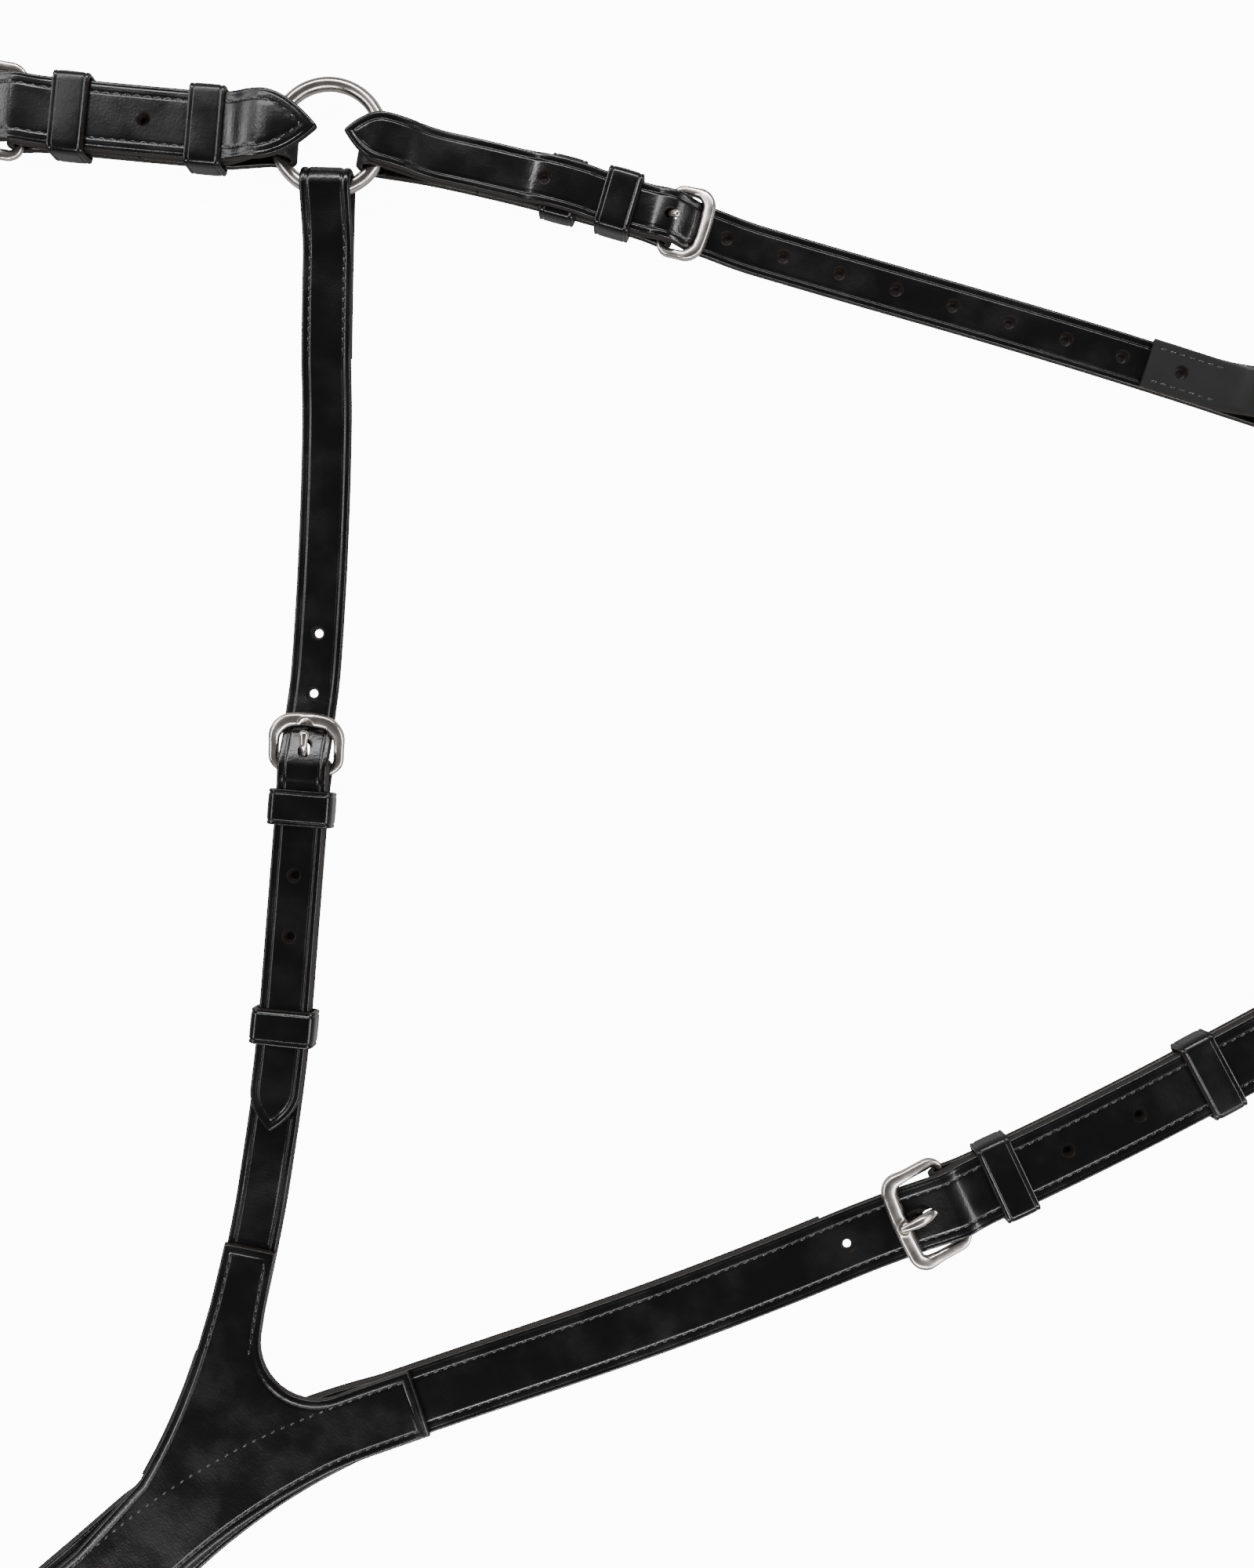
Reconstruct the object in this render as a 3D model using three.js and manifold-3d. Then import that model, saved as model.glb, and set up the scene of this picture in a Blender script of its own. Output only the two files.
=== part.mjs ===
// Five-point breastplate for a horse, laid out flat. Millimetres, +Z up.
// +X is the wearer's one side, +Y points to the withers, and the straps rest on z = 0.
import * as THREE from 'three';
import { mergeVertices } from 'three/addons/utils/BufferGeometryUtils.js';
import Module from 'manifold-3d';

const wasm = await Module();
wasm.setup();

// ---------------------------------------------------------------- driving sizes
const leather = 2.2; // thickness of every strap
const keeperLeather = 1.4; // thickness of a keeper
const gap = 0.25; // clear space between neighbouring pieces
const narrow = 16; // width of the saddle and shoulder straps
const wide = 22; // width of the wither, girth and between-legs straps
const chestWide = 34; // width of the chest strap at its widest
const overlayWide = 28; // width of the forked overlay on the chest
const armWide = 16.5; // width of the overlay's shoulder arm at its top
const foldWide = 17; // width of a wide strap where it folds round a ring

const ringRadius = 17; // ring centre line
const ringWire = 2.25; // radius of the ring wire
const frameBar = 3; // width and height of a buckle's bars
const frameBevel = 0.6;
const frameCorner = 3.4;
const frameInnerCorner = 1;
const frameTilt = 12; // degrees, front bar up
const sideClear = 0.8; // strap edge to buckle frame or keeper, each side
const narrowSpan = 15.2; // heel bar to front bar, shoulder buckle
const shortSpan = 12.5; // heel bar to front bar, saddle buckle
const wideSpan = 18.5; // heel bar to front bar, 22 mm buckles
const tongueThick = 2;
const tongueWide = 2.6;
const eyeWide = 4.6;
const eyeWall = 1.3; // metal of the tongue's eye round its bore
const eyeClear = 0.15; // heel bar to the eye's bore
const slotWide = 5.6; // slot in a chape for the tongue's eye
const slotAhead = 6; // the slot's reach past the heel bar, towards the front bar
const slotBehind = 4;
const keeperLong = 11.5; // length of a keeper along the strap
const keeperCorner = 1.8;
const keeperInnerCorner = 0.4;
const holeRadius = 2; // punched strap holes
const saddlePitch = 19; // spacing of the holes, strap by strap
const shoulderPitch = 19.5;
const widePitch = 25.4;
const saddleLead = 1.7; // heel bar to the hole that the spacing is counted from
const shoulderLead = 5.8;
const wideLead = 11.5;

// Places along each strap, counted from the centre of the ring that it starts at: the billet's tip,
// the buckle's heel bar, the fixed and loose keepers, the chape's seam (joint), where a turned end
// stops (doubled) and the far end of a loop.
const wither = { tip: 2.4, heel: 99, fixed: 82.5, loose: ringRadius + 22, joint: 60, firstHole: 58.8 };
const saddle = { tip: 6.5, heel: 110.5, fixed: 76.5, loose: 95, joint: 50, loop: 340 };
const shoulder = { tip: 317.6, heel: 202.7, fixed: 214.5, loose: 284.5, doubled: 69, end: 392 };
const girth = { tip: 560, heel: 430, fixed: 448, loose: 521, loop: 650, lining: 388 };
const legs = { tip: 300, heel: 190, fixed: 208, loose: 268, doubled: 80, loop: 470 };
const overlay = { from: 36, to: 247, arm: 356 };
const forkOnShoulder = 456;
const forkOnChest = 150;

const loopRise = 5.4; // half the height of a girth loop's centre line
const deeRise = 4.6; // half the height of a saddle loop's centre line
const girthLoopLong = 62;
const deeLoopLong = 30;
const deeLoopRamp = 12; // run in which a saddle loop closes up
const deeLoopLap = 26; // length of its turned end, sewn down
const girthLoopLap = 26; // the chape's two ends meet this far from the girth loop
const girthLoopRamp = 12;
const pointLong = 15; // length of a billet's point
const rampLong = 14; // run in which a strap climbs to a buckle
const ringRamp = 15; // run in which a fold closes up beside a ring
const barRamp = frameBar + 2.6; // run in which a chape closes up behind a heel bar
const turnedRamp = 16; // run in which a billet comes down off its turned end
const chapeReach = 6; // a chape's two layers part this far beyond a billet's tip
const overlayLap = 12; // the shoulder chape lies flat this far before the overlay starts
const tongueHoleAt = 3.9; // heel bar to the middle of the hole that the tongue is in
const tongueHoleStretch = 1.6;
const besideRing = 5; // a billet stays high this far past the ring's centre line
const onFrontBar = 2; // a billet runs level this far each side of the front bar
const frontSlack = 0.1;
const frontRise = 0.2;
const heelRun = 3.5; // a billet starts to drop this far before the heel bar
const heelDrop = 0.7;
const turnedChest = 74; // where the chest strap's turned end stops
const ringAhead = 207; // the wither rings lie this far ahead of the drawing's zero

const blackLeather = { color: 0x121112, roughness: 0.38, metalness: 0 };
const satinSteel = { color: 0xc8c4bc, roughness: 0.26, metalness: 1 };

// ---------------------------------------------------------------- layers
const layer = leather + gap;
const floor = leather / 2; // centre of a layer that lies on the ground
const lifted = keeperLeather + gap + leather / 2; // centre of a layer with a keeper under it
const chapeTop = lifted + layer;
const billetTop = chapeTop + layer;
const overlayHeight = floor + 2 * layer;
// A fold is straight and the ring curves and slants inside it, so the fold is that much slacker.
const ringSeat = (width) => Math.sqrt(ringRadius ** 2 - (width / 2) ** 2);
const sagitta = (width) => ringRadius - ringSeat(width);
const slantWire = (width) => (ringWire * ringRadius) / ringSeat(width);
const ringWrap = (width) => slantWire(width) + sagitta(width) / 2 + gap + leather / 2;
const ringHeight = ringWrap(foldWide) + leather / 2;
const barRadius = Math.hypot(frameBar / 2, frameBar / 2 - frameBevel);
const barHeight = leather + gap + barRadius;
const barWrap = barRadius + gap + leather / 2;
const overRing = ringHeight + ringWrap(foldWide) + layer;
const overBar = barHeight + barWrap + layer;
const tilt = THREE.MathUtils.degToRad(frameTilt);

// ---------------------------------------------------------------- strap courses
// A course is a chain of arcs, each [length, turn in degrees], drawn on the ground.
function alongArc(arc, distance) {
  const bend = arc.turn / arc.length;
  const heading = arc.heading + bend * distance;
  const straight = Math.abs(bend) < 1e-9;
  const s = arc.s + distance;
  if (straight) {
    const x = arc.x + distance * Math.cos(heading);
    const y = arc.y + distance * Math.sin(heading);
    return { s, x, y, heading };
  }
  const x = arc.x + (Math.sin(heading) - Math.sin(arc.heading)) / bend;
  const y = arc.y + (Math.cos(arc.heading) - Math.cos(heading)) / bend;
  return { s, x, y, heading };
}

function course(x, y, degrees, bends) {
  const arcs = [];
  let start = { s: 0, x, y, heading: THREE.MathUtils.degToRad(degrees) };
  for (const [length, turn] of [...bends, [Infinity, 0]]) {
    const arc = { ...start, length, turn: THREE.MathUtils.degToRad(turn) };
    arcs.push(arc);
    if (length < Infinity) start = alongArc(arc, length);
  }
  return (s) => {
    const arc = arcs.findLast((one) => one.s <= s) ?? arcs[0];
    return alongArc(arc, s - arc.s);
  };
}

const shoulderBends = [
  [80, 1.6], [100, -4.3], [90, 0.3], [80, -6.8], [40, -1.6], [60, -16], [60, -12],
];
const chestBends = [[70, 0.8], [75, 2.5], [85, -22.1], [60, -0.7], [230, 9.7]];
const shoulderStart = -92;
const chestStart = 37.9;
const saddleStart = -9;
const witherStart = 176.2;

// The shoulder strap meets the chest strap at the fork, which sets how far apart the rings are.
const drop = course(0, 0, shoulderStart, shoulderBends)(forkOnShoulder);
const rise = course(0, 0, chestStart, chestBends)(forkOnChest);
const ringAt = { x: rise.x - drop.x, y: ringAhead };
const chestRingAt = { x: 0, y: ringAt.y + drop.y - rise.y };

// The wither strap's last arc ends level on the middle line.
const witherLead = 80;
const witherDip = -2;
const lead = course(ringAt.x, ringAt.y, witherStart, [[witherLead, witherDip]])(witherLead);
const levelTurn = Math.PI - lead.heading;
const witherRest = (lead.x * levelTurn) / Math.sin(levelTurn);

const witherBends = [[witherLead, witherDip], [witherRest, THREE.MathUtils.radToDeg(levelTurn)]];
const witherCourse = course(ringAt.x, ringAt.y, witherStart, witherBends);
const saddleCourse = course(ringAt.x, ringAt.y, saddleStart, [[100, -7.8], [100, 0.9], [160, -3.6]]);
const shoulderCourse = course(ringAt.x, ringAt.y, shoulderStart, shoulderBends);
const chestCourse = course(chestRingAt.x, chestRingAt.y, chestStart, chestBends);
const legsCourse = course(chestRingAt.x, chestRingAt.y, -90, []);
const witherMiddle = witherLead + witherRest;
const middleLap = 0.5; // the wither strap's two halves are joined over this much, each side

// ---------------------------------------------------------------- solids
function solid(geometry) {
  const bare = geometry.clone();
  bare.deleteAttribute('normal');
  bare.deleteAttribute('uv');
  const merged = mergeVertices(bare);
  const vertProperties = new Float32Array(merged.attributes.position.array);
  const triVerts = new Uint32Array(merged.index.array);
  return new wasm.Manifold(new wasm.Mesh({ numProp: 3, vertProperties, triVerts }));
}

function surface(body) {
  const mesh = body.getMesh();
  const geometry = new THREE.BufferGeometry();
  geometry.setAttribute('position', new THREE.BufferAttribute(mesh.vertProperties, 3));
  geometry.setIndex(new THREE.BufferAttribute(mesh.triVerts, 1));
  geometry.computeVertexNormals();
  return geometry;
}

function moved(geometry, place) {
  geometry.rotateZ(place.heading);
  return geometry.translate(place.x, place.y, 0);
}

// ---------------------------------------------------------------- straps
// A strap is drawn from the side as a line of [along, height] points and given its thickness.
function halfTurn(along, height, radius, side) {
  const steps = 6;
  return Array.from({ length: steps + 1 }, (_, i) => {
    const angle = (i / steps - 0.5) * Math.PI;
    return [along + side * radius * Math.cos(angle), height + radius * Math.sin(angle)];
  });
}

function withStations(path, step = 16) {
  const points = [path[0]];
  for (let i = 1; i < path.length; i++) {
    const [s0, z0] = path[i - 1];
    const [s1, z1] = path[i];
    const count = Math.max(1, Math.ceil(Math.hypot(s1 - s0, z1 - z0) / step));
    for (let k = 1; k <= count; k++) {
      points.push([s0 + ((s1 - s0) * k) / count, z0 + ((z1 - z0) * k) / count]);
    }
  }
  return points;
}

// The mitred way across a line of points: a unit thickness is half above and half below.
function acrossLine(points) {
  const steps = points.slice(1).map((p, i) => p.clone().sub(points[i]).normalize());
  return points.map((_, i) => {
    const before = steps[Math.max(i - 1, 0)];
    const after = steps[Math.min(i, steps.length - 1)];
    const middle = before.clone().add(after).normalize();
    return new THREE.Vector2(-middle.y, middle.x).divideScalar(middle.dot(after));
  });
}

// A bar of square section with one slice for each step of the path, bent to the strap's course.
function strap(route, path, width, thick = leather) {
  const points = withStations(path).map(([s, z]) => new THREE.Vector2(s, z));
  const across = acrossLine(points);
  const slices = points.length - 1;
  const geometry = new THREE.BoxGeometry(slices, 1, 1, slices, 1, 1);
  const position = geometry.attributes.position;
  const widthAt = typeof width === 'function' ? width : () => width;
  for (let i = 0; i < position.count; i++) {
    const slice = Math.round(position.getX(i) + slices / 2);
    const side = points[slice].clone().addScaledVector(across[slice], position.getZ(i) * thick);
    const place = route(side.x);
    const off = position.getY(i) * widthAt(side.x);
    const x = place.x - off * Math.sin(place.heading);
    const y = place.y + off * Math.cos(place.heading);
    position.setXYZ(i, x, y, side.y);
  }
  return solid(geometry);
}

function sideOutline(path, thick) {
  const points = path.map(([x, z]) => new THREE.Vector2(x, z));
  const across = acrossLine(points);
  const edge = (share) => points.map((p, i) => p.clone().addScaledVector(across[i], share * thick));
  return new THREE.Shape([...edge(-0.5), ...edge(0.5).reverse()]);
}

// Width along a strap, straight between [along, width] points.
function widths(points) {
  return (s) => {
    const next = points.findIndex(([at]) => at >= s);
    if (next === 0) return points[0][1];
    if (next < 0) return points.at(-1)[1];
    const [s0, w0] = points[next - 1];
    const [s1, w1] = points[next];
    return w0 + ((w1 - w0) * (s - s0)) / (s1 - s0);
  };
}

const ringWidths = widths([[ringRadius + ringWire, foldWide], [ringRadius + ringRamp, wide]]);

const pointSteps = [0, 0.08, 0.2, 0.38, 0.62, 1];
const pointBlunt = 0.1; // width left at the very tip
const pointArch = 1.7; // 1 is a straight-sided point
const pointShare = (share) => pointBlunt + (1 - pointBlunt) * (1 - (1 - share) ** pointArch);

// A strap's width with an arched point at `tip`; `side` is the way from the tip into the strap.
function pointed(tip, side, widthAt) {
  return (s) => {
    const share = Math.min(1, Math.max(0, (side * (s - tip)) / pointLong));
    return widthAt(s) * pointShare(share);
  };
}

function pointStations(tip, side, height) {
  return pointSteps.map((share) => [tip + side * share * pointLong, height]);
}

const cutterTall = 60; // a cutter goes through every layer

function punch(body, route, places, stretch = 1) {
  let cut = body;
  for (const s of places) {
    const pin = new THREE.CylinderGeometry(holeRadius, holeRadius, cutterTall, 10);
    pin.rotateX(Math.PI / 2);
    pin.scale(stretch, 1, 1);
    cut = cut.subtract(solid(moved(pin, route(s))));
  }
  return cut;
}

// The slot that a tongue's eye stands in. `front` is the way from the heel bar to the front bar.
function cutSlot(body, route, heel, front) {
  const block = new THREE.BoxGeometry(slotBehind + slotAhead, slotWide, cutterTall);
  const middle = heel + (front * (slotAhead - slotBehind)) / 2;
  return body.subtract(solid(moved(block, route(middle))));
}

// The hole that the tongue is in, drawn out along the strap.
function tongueHole(body, route, heel, front) {
  return punch(body, route, [heel + front * tongueHoleAt], tongueHoleStretch);
}

const holesFrom = (first, pitch, count) => Array.from({ length: count }, (_, i) => first + i * pitch);

// ---------------------------------------------------------------- paths shared by straps

// Round a ring, from under it to above it.
function roundRing(width) {
  const seat = ringRadius - sagitta(width) / 2;
  const wrap = ringWrap(width);
  const run = seat + besideRing / 3;
  const fold = halfTurn(seat, ringHeight, wrap, -1);
  return [[run, ringHeight - wrap], ...fold, [run, ringHeight + wrap]];
}

// Round a heel bar. `front` is the way from the heel bar to the front bar.
const roundBar = (heel, front) => halfTurn(heel, barHeight, barWrap, front);

// A billet from its flat run, under the front bar, over the heel bar and down on the chape.
function throughBuckle(heel, front, span, flatHeight = floor) {
  const underBar = frameBar / 2 + gap + leather / 2 + frontSlack;
  const frontHeight = barHeight + span * Math.sin(tilt) - underBar;
  return [
    [heel + front * (span + rampLong), flatHeight],
    [heel + front * (span + onFrontBar), frontHeight],
    [heel + front * (span - onFrontBar), frontHeight + frontRise],
    [heel + front * heelRun, overBar - heelDrop],
    [heel, overBar],
    [heel - front * barRamp, billetTop],
  ];
}

// ---------------------------------------------------------------- metal
function roundedBox(x0, x1, halfWidth, corner) {
  const shape = new THREE.Shape();
  shape.moveTo(x0 + corner, -halfWidth);
  shape.lineTo(x1 - corner, -halfWidth);
  shape.absarc(x1 - corner, -halfWidth + corner, corner, -Math.PI / 2, 0, false);
  shape.absarc(x1 - corner, halfWidth - corner, corner, 0, Math.PI / 2, false);
  shape.absarc(x0 + corner, halfWidth - corner, corner, Math.PI / 2, Math.PI, false);
  shape.absarc(x0 + corner, -halfWidth + corner, corner, Math.PI, 1.5 * Math.PI, false);
  return shape;
}

function buckleFrame(strapWidth, span) {
  const inside = strapWidth / 2 + sideClear;
  const half = frameBar / 2;
  const shape = roundedBox(-half, span + half, inside + frameBar, frameCorner);
  shape.holes.push(roundedBox(half, span - half, inside, frameInnerCorner));
  // The bevel grows outwards, so the outline is drawn smaller by its size.
  const options = {
    depth: frameBar - 2 * frameBevel,
    bevelThickness: frameBevel,
    bevelSize: frameBevel,
    bevelOffset: -frameBevel,
    bevelSegments: 1,
    curveSegments: 2,
  };
  const geometry = new THREE.ExtrudeGeometry(shape, options);
  geometry.translate(0, 0, frameBevel - frameBar / 2);
  return geometry.rotateY(-tilt);
}

// The tongue rises through the chape's slot and the billet's hole, then lies along to the front bar.
function buckleTongue(span) {
  const frontTop = span * Math.sin(tilt) + frameBar / 2 + 2 * gap + tongueThick / 2;
  const arm = [
    [0.6, barRadius + 0.2],
    [2.2, barRadius + 1.2],
    [6.2, barRadius + 2 * leather + 0.7],
    [span, frontTop],
    [span + 2.2, frontTop - 0.7],
  ];
  const options = { depth: tongueWide, bevelEnabled: false };
  const flat = new THREE.ExtrudeGeometry(sideOutline(arm, tongueThick), options);
  flat.translate(0, 0, -tongueWide / 2);
  flat.rotateX(Math.PI / 2);
  const boreRadius = barRadius + eyeClear;
  const eyeRadius = boreRadius + eyeWall;
  const eye = new THREE.CylinderGeometry(eyeRadius, eyeRadius, eyeWide, 14);
  const bore = new THREE.CylinderGeometry(boreRadius, boreRadius, eyeWide * 2, 14);
  return surface(solid(eye).add(solid(flat)).subtract(solid(bore)));
}

function keeper(strapWidth, top) {
  const inside = strapWidth / 2 + sideClear;
  const band = keeperLeather;
  const outer = roundedBox(0, top + gap + band, inside + band, keeperCorner);
  outer.holes.push(roundedBox(band, top + gap, inside, keeperInnerCorner));
  const options = { depth: keeperLong, bevelEnabled: false, curveSegments: 2 };
  const geometry = new THREE.ExtrudeGeometry(outer, options);
  geometry.translate(0, 0, -keeperLong / 2);
  // Drawn with height along x and width along y: turn height up and length along the strap.
  geometry.rotateY(-Math.PI / 2);
  return geometry;
}

// ---------------------------------------------------------------- assembly
const group = new THREE.Group();

function add(name, geometry, finish, place = null) {
  const mesh = new THREE.Mesh(geometry, new THREE.MeshStandardMaterial(finish));
  mesh.name = name;
  if (place) {
    mesh.position.set(place.x, place.y, place.z);
    mesh.rotation.z = place.heading;
  }
  group.add(mesh);
}

function mirrored(geometry) {
  const copy = geometry.index ? geometry.toNonIndexed() : geometry.clone();
  const position = copy.attributes.position;
  for (let i = 0; i < position.count; i += 3) {
    const corners = [0, 2, 1].map((k) => {
      const corner = new THREE.Vector3().fromBufferAttribute(position, i + k);
      return [-corner.x, corner.y, corner.z];
    });
    corners.forEach((corner, k) => position.setXYZ(i + k, ...corner));
  }
  copy.computeVertexNormals();
  return copy;
}

// Every side piece is made once and set on both sides of the middle line.
function addPair(name, geometry, finish, place = null) {
  add(`right_${name}`, geometry, finish, place);
  const other = place && { ...place, x: -place.x, heading: -place.heading };
  add(`left_${name}`, mirrored(geometry), finish, other);
}

// The mirror of a turned piece swaps left and right, so pieces made along +X keep facing their strap.
function facing(route, s, front, z) {
  const place = route(s);
  return { x: place.x, y: place.y, z, heading: place.heading + (front > 0 ? 0 : Math.PI) };
}

function addSided(put, name, geometry, place) {
  if (put === add) {
    add(name, geometry, satinSteel, place);
    return;
  }
  add(`right_${name}`, geometry, satinSteel, place);
  const other = { ...place, x: -place.x, heading: Math.PI - place.heading };
  add(`left_${name}`, geometry, satinSteel, other);
}

function addBuckle(put, name, route, heel, front, strapWidth, span) {
  const place = facing(route, heel, front, barHeight);
  addSided(put, `${name}_buckle`, buckleFrame(strapWidth, span), place);
  addSided(put, `${name}_tongue`, buckleTongue(span), place);
}

function addKeepers(put, name, route, spots, strapWidth) {
  for (const [kind, s, top] of spots) {
    const geometry = moved(keeper(strapWidth, top), route(s));
    put(`${name}_keeper_${kind}`, surface(solid(geometry)), blackLeather);
  }
}

const billetCover = billetTop + leather / 2;

// ---- wither strap: a middle billet with a point at each end, over a chape at each ring
function addWither() {
  const { tip, heel, joint, fixed, loose, firstHole } = wither;
  const chapePath = [
    [joint - gap, chapeTop],
    [ringRadius + ringRamp, chapeTop],
    ...roundRing(foldWide).reverse(),
    [ringRadius + ringRamp, lifted],
    [heel - barRamp, lifted],
    ...roundBar(heel, 1),
    [heel - barRamp, chapeTop],
    [joint + gap, chapeTop],
  ];
  const chape = cutSlot(strap(witherCourse, chapePath, ringWidths), witherCourse, heel, 1);
  addPair('wither_chape', surface(chape), blackLeather);
  addBuckle(addPair, 'wither', witherCourse, heel, 1, wide, wideSpan);
  const spots = [['fixed', fixed, billetCover], ['loose', loose, billetCover]];
  addKeepers(addPair, 'wither', witherCourse, spots, wide);

  const path = [
    ...pointStations(tip, 1, overRing),
    [ringRadius + besideRing, overRing],
    [ringRadius + ringRamp + 1, billetTop],
    ...throughBuckle(heel, 1, wideSpan).reverse(),
    [witherMiddle + middleLap, floor],
  ];
  const half = strap(witherCourse, path, pointed(tip, 1, () => wide));
  const holes = punch(half, witherCourse, holesFrom(firstHole, widePitch, 3));
  const open = tongueHole(holes, witherCourse, heel, 1);
  const other = solid(mirrored(surface(open)));
  add('wither_strap', surface(open.add(other)), blackLeather);
}

// ---- saddle strap: a long billet with holes, its loop for the saddle dee at the far end
function addSaddle() {
  const { tip, heel, joint, fixed, loose, loop } = saddle;
  const chapePath = [
    [joint - gap, chapeTop],
    [ringRadius + ringRamp, chapeTop],
    ...roundRing(narrow).reverse(),
    [ringRadius + ringRamp, lifted],
    [heel - barRamp, lifted],
    ...roundBar(heel, 1),
    [heel - barRamp, chapeTop],
    [joint + gap, chapeTop],
  ];
  const chape = cutSlot(strap(saddleCourse, chapePath, narrow), saddleCourse, heel, 1);
  addPair('saddle_chape', surface(chape), blackLeather);
  addBuckle(addPair, 'saddle', saddleCourse, heel, 1, narrow, shortSpan);
  const hidden = chapeTop + leather / 2;
  const spots = [['fixed', fixed, hidden], ['loose', loose, billetCover]];
  addKeepers(addPair, 'saddle', saddleCourse, spots, narrow);

  // The billet rides over the fixed keeper, which holds the chape's end down under it.
  const hump = hidden + gap + keeperLeather + gap + leather / 2;
  const humpHalf = keeperLong / 2 + 1;
  const humpRise = 5;
  const humpFall = 4;
  const path = [
    ...pointStations(tip, 1, overRing),
    [ringRadius + besideRing, overRing],
    [ringRadius + ringRamp + 1, billetTop],
    [fixed - humpHalf - humpRise, billetTop],
    [fixed - humpHalf, hump],
    [fixed + humpHalf, hump],
    [fixed + humpHalf + humpFall, billetTop],
    ...throughBuckle(heel, 1, shortSpan).reverse(),
    [loop, floor],
    ...halfTurn(loop, floor + deeRise, deeRise, 1).slice(1),
    [loop - deeLoopLong, floor + 2 * deeRise],
    [loop - deeLoopLong - deeLoopRamp, floor + layer],
    [loop - deeLoopLong - deeLoopRamp - deeLoopLap, floor + layer],
  ];
  const body = strap(saddleCourse, path, pointed(tip, 1, () => narrow));
  const first = heel + saddleLead;
  const behind = punch(body, saddleCourse, [first - 2.2 * saddlePitch]);
  const holes = punch(behind, saddleCourse, holesFrom(first + saddlePitch, saddlePitch, 9));
  const finished = tongueHole(holes, saddleCourse, heel, 1);
  addPair('saddle_strap', surface(finished), blackLeather);
}

// ---- shoulder strap: a billet hung on the ring, buckled to a chape that comes up from the chest
function addShoulder() {
  const { tip, heel, fixed, loose, doubled, end } = shoulder;
  const billetPath = [
    [doubled, floor],
    ...roundRing(narrow),
    [ringRadius + ringRamp, floor + layer],
    [doubled + 1, floor + layer],
    [doubled + turnedRamp, floor],
    ...throughBuckle(heel, -1, narrowSpan),
    ...pointStations(tip, -1, billetTop).reverse(),
  ];
  const billet = strap(shoulderCourse, billetPath, pointed(tip, -1, () => narrow));
  const first = heel - shoulderLead;
  const above = holesFrom(first - 2 * shoulderPitch, shoulderPitch, 2);
  const below = holesFrom(first + 2 * shoulderPitch, shoulderPitch, 2);
  const holes = punch(billet, shoulderCourse, [...above, ...below]);
  addPair('shoulder_strap', surface(tongueHole(holes, shoulderCourse, heel, -1)), blackLeather);

  const chapePath = [
    [end, floor],
    [overlay.arm - overlayLap, floor],
    [tip + chapeReach, lifted],
    [heel + barRamp, lifted],
    ...roundBar(heel, -1),
    [heel + barRamp, chapeTop],
    [tip + chapeReach, chapeTop],
    [overlay.arm - overlayLap, floor + layer],
    [end, floor + layer],
  ];
  const chape = cutSlot(strap(shoulderCourse, chapePath, narrow), shoulderCourse, heel, -1);
  addPair('shoulder_chape', surface(chape), blackLeather);
  addBuckle(addPair, 'shoulder', shoulderCourse, heel, -1, narrow, narrowSpan);
  const spots = [['fixed', fixed, billetCover], ['loose', loose, billetCover]];
  addKeepers(addPair, 'shoulder', shoulderCourse, spots, narrow);
}

// ---- chest: lining, strap and forked overlay, and the girth billet that the strap runs out to
function addChest() {
  const { tip, heel, fixed, loose, loop, lining } = girth;
  const chestWidths = widths([[ringRadius, foldWide], [60, chestWide], [150, chestWide], [236, wide]]);
  const strapPath = [
    [turnedChest, floor],
    ...roundRing(foldWide),
    [ringRadius + ringRamp, floor + layer],
    [lining, floor + layer],
    [lining + 9, floor + layer],
    ...throughBuckle(heel, -1, wideSpan).slice(1),
    ...pointStations(tip, -1, billetTop).reverse(),
  ];
  const body = strap(chestCourse, strapPath, pointed(tip, -1, chestWidths));
  const first = heel - wideLead;
  const shown = holesFrom(first + 2 * widePitch, widePitch, 4);
  const holes = punch(body, chestCourse, [first - widePitch, ...shown]);
  addPair('chest_strap', surface(tongueHole(holes, chestCourse, heel, -1)), blackLeather);
  const liningPath = [[turnedChest + 2, floor], [lining, floor]];
  addPair('chest_lining', surface(strap(chestCourse, liningPath, chestWidths)), blackLeather);

  const overlayWidths = widths([[overlay.from, wide], [62, overlayWide], [140, overlayWide], [215, wide]]);
  const armTop = [[overlay.arm, armWide], [overlay.arm + 20, armWide + 1]];
  const armWidths = widths([...armTop, [forkOnShoulder, overlayWide]]);
  const along = [[overlay.from, overlayHeight], [overlay.to, overlayHeight]];
  const up = [[overlay.arm, overlayHeight], [forkOnShoulder, overlayHeight]];
  const trunk = strap(chestCourse, along, overlayWidths);
  const arm = strap(shoulderCourse, up, armWidths);
  addPair('chest_overlay', surface(trunk.add(arm)), blackLeather);

  const chape = cutSlot(loopedChape(chestCourse, heel, loop, wide), chestCourse, heel, -1);
  addPair('girth_chape', surface(chape), blackLeather);
  addBuckle(addPair, 'girth', chestCourse, heel, -1, wide, wideSpan);
  const spots = [['fixed', fixed, billetCover], ['loose', loose, billetCover]];
  addKeepers(addPair, 'girth', chestCourse, spots, wide);
}

// A chape folded on its heel bar, whose other end makes a flat loop for a girth.
function loopedChape(route, heel, loop, width) {
  const meet = loop - girthLoopLong - girthLoopLap;
  const path = [
    [meet - gap, chapeTop],
    [heel + barRamp, chapeTop],
    ...roundBar(heel, -1).reverse(),
    [heel + barRamp, lifted],
    [meet, lifted],
    [meet + girthLoopRamp, floor],
    [loop, floor],
    ...halfTurn(loop, floor + loopRise, loopRise, 1).slice(1),
    [loop - girthLoopLong, floor + 2 * loopRise],
    [meet + girthLoopRamp / 2, chapeTop],
    [meet + gap, chapeTop],
  ];
  return strap(route, path, width);
}

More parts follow.
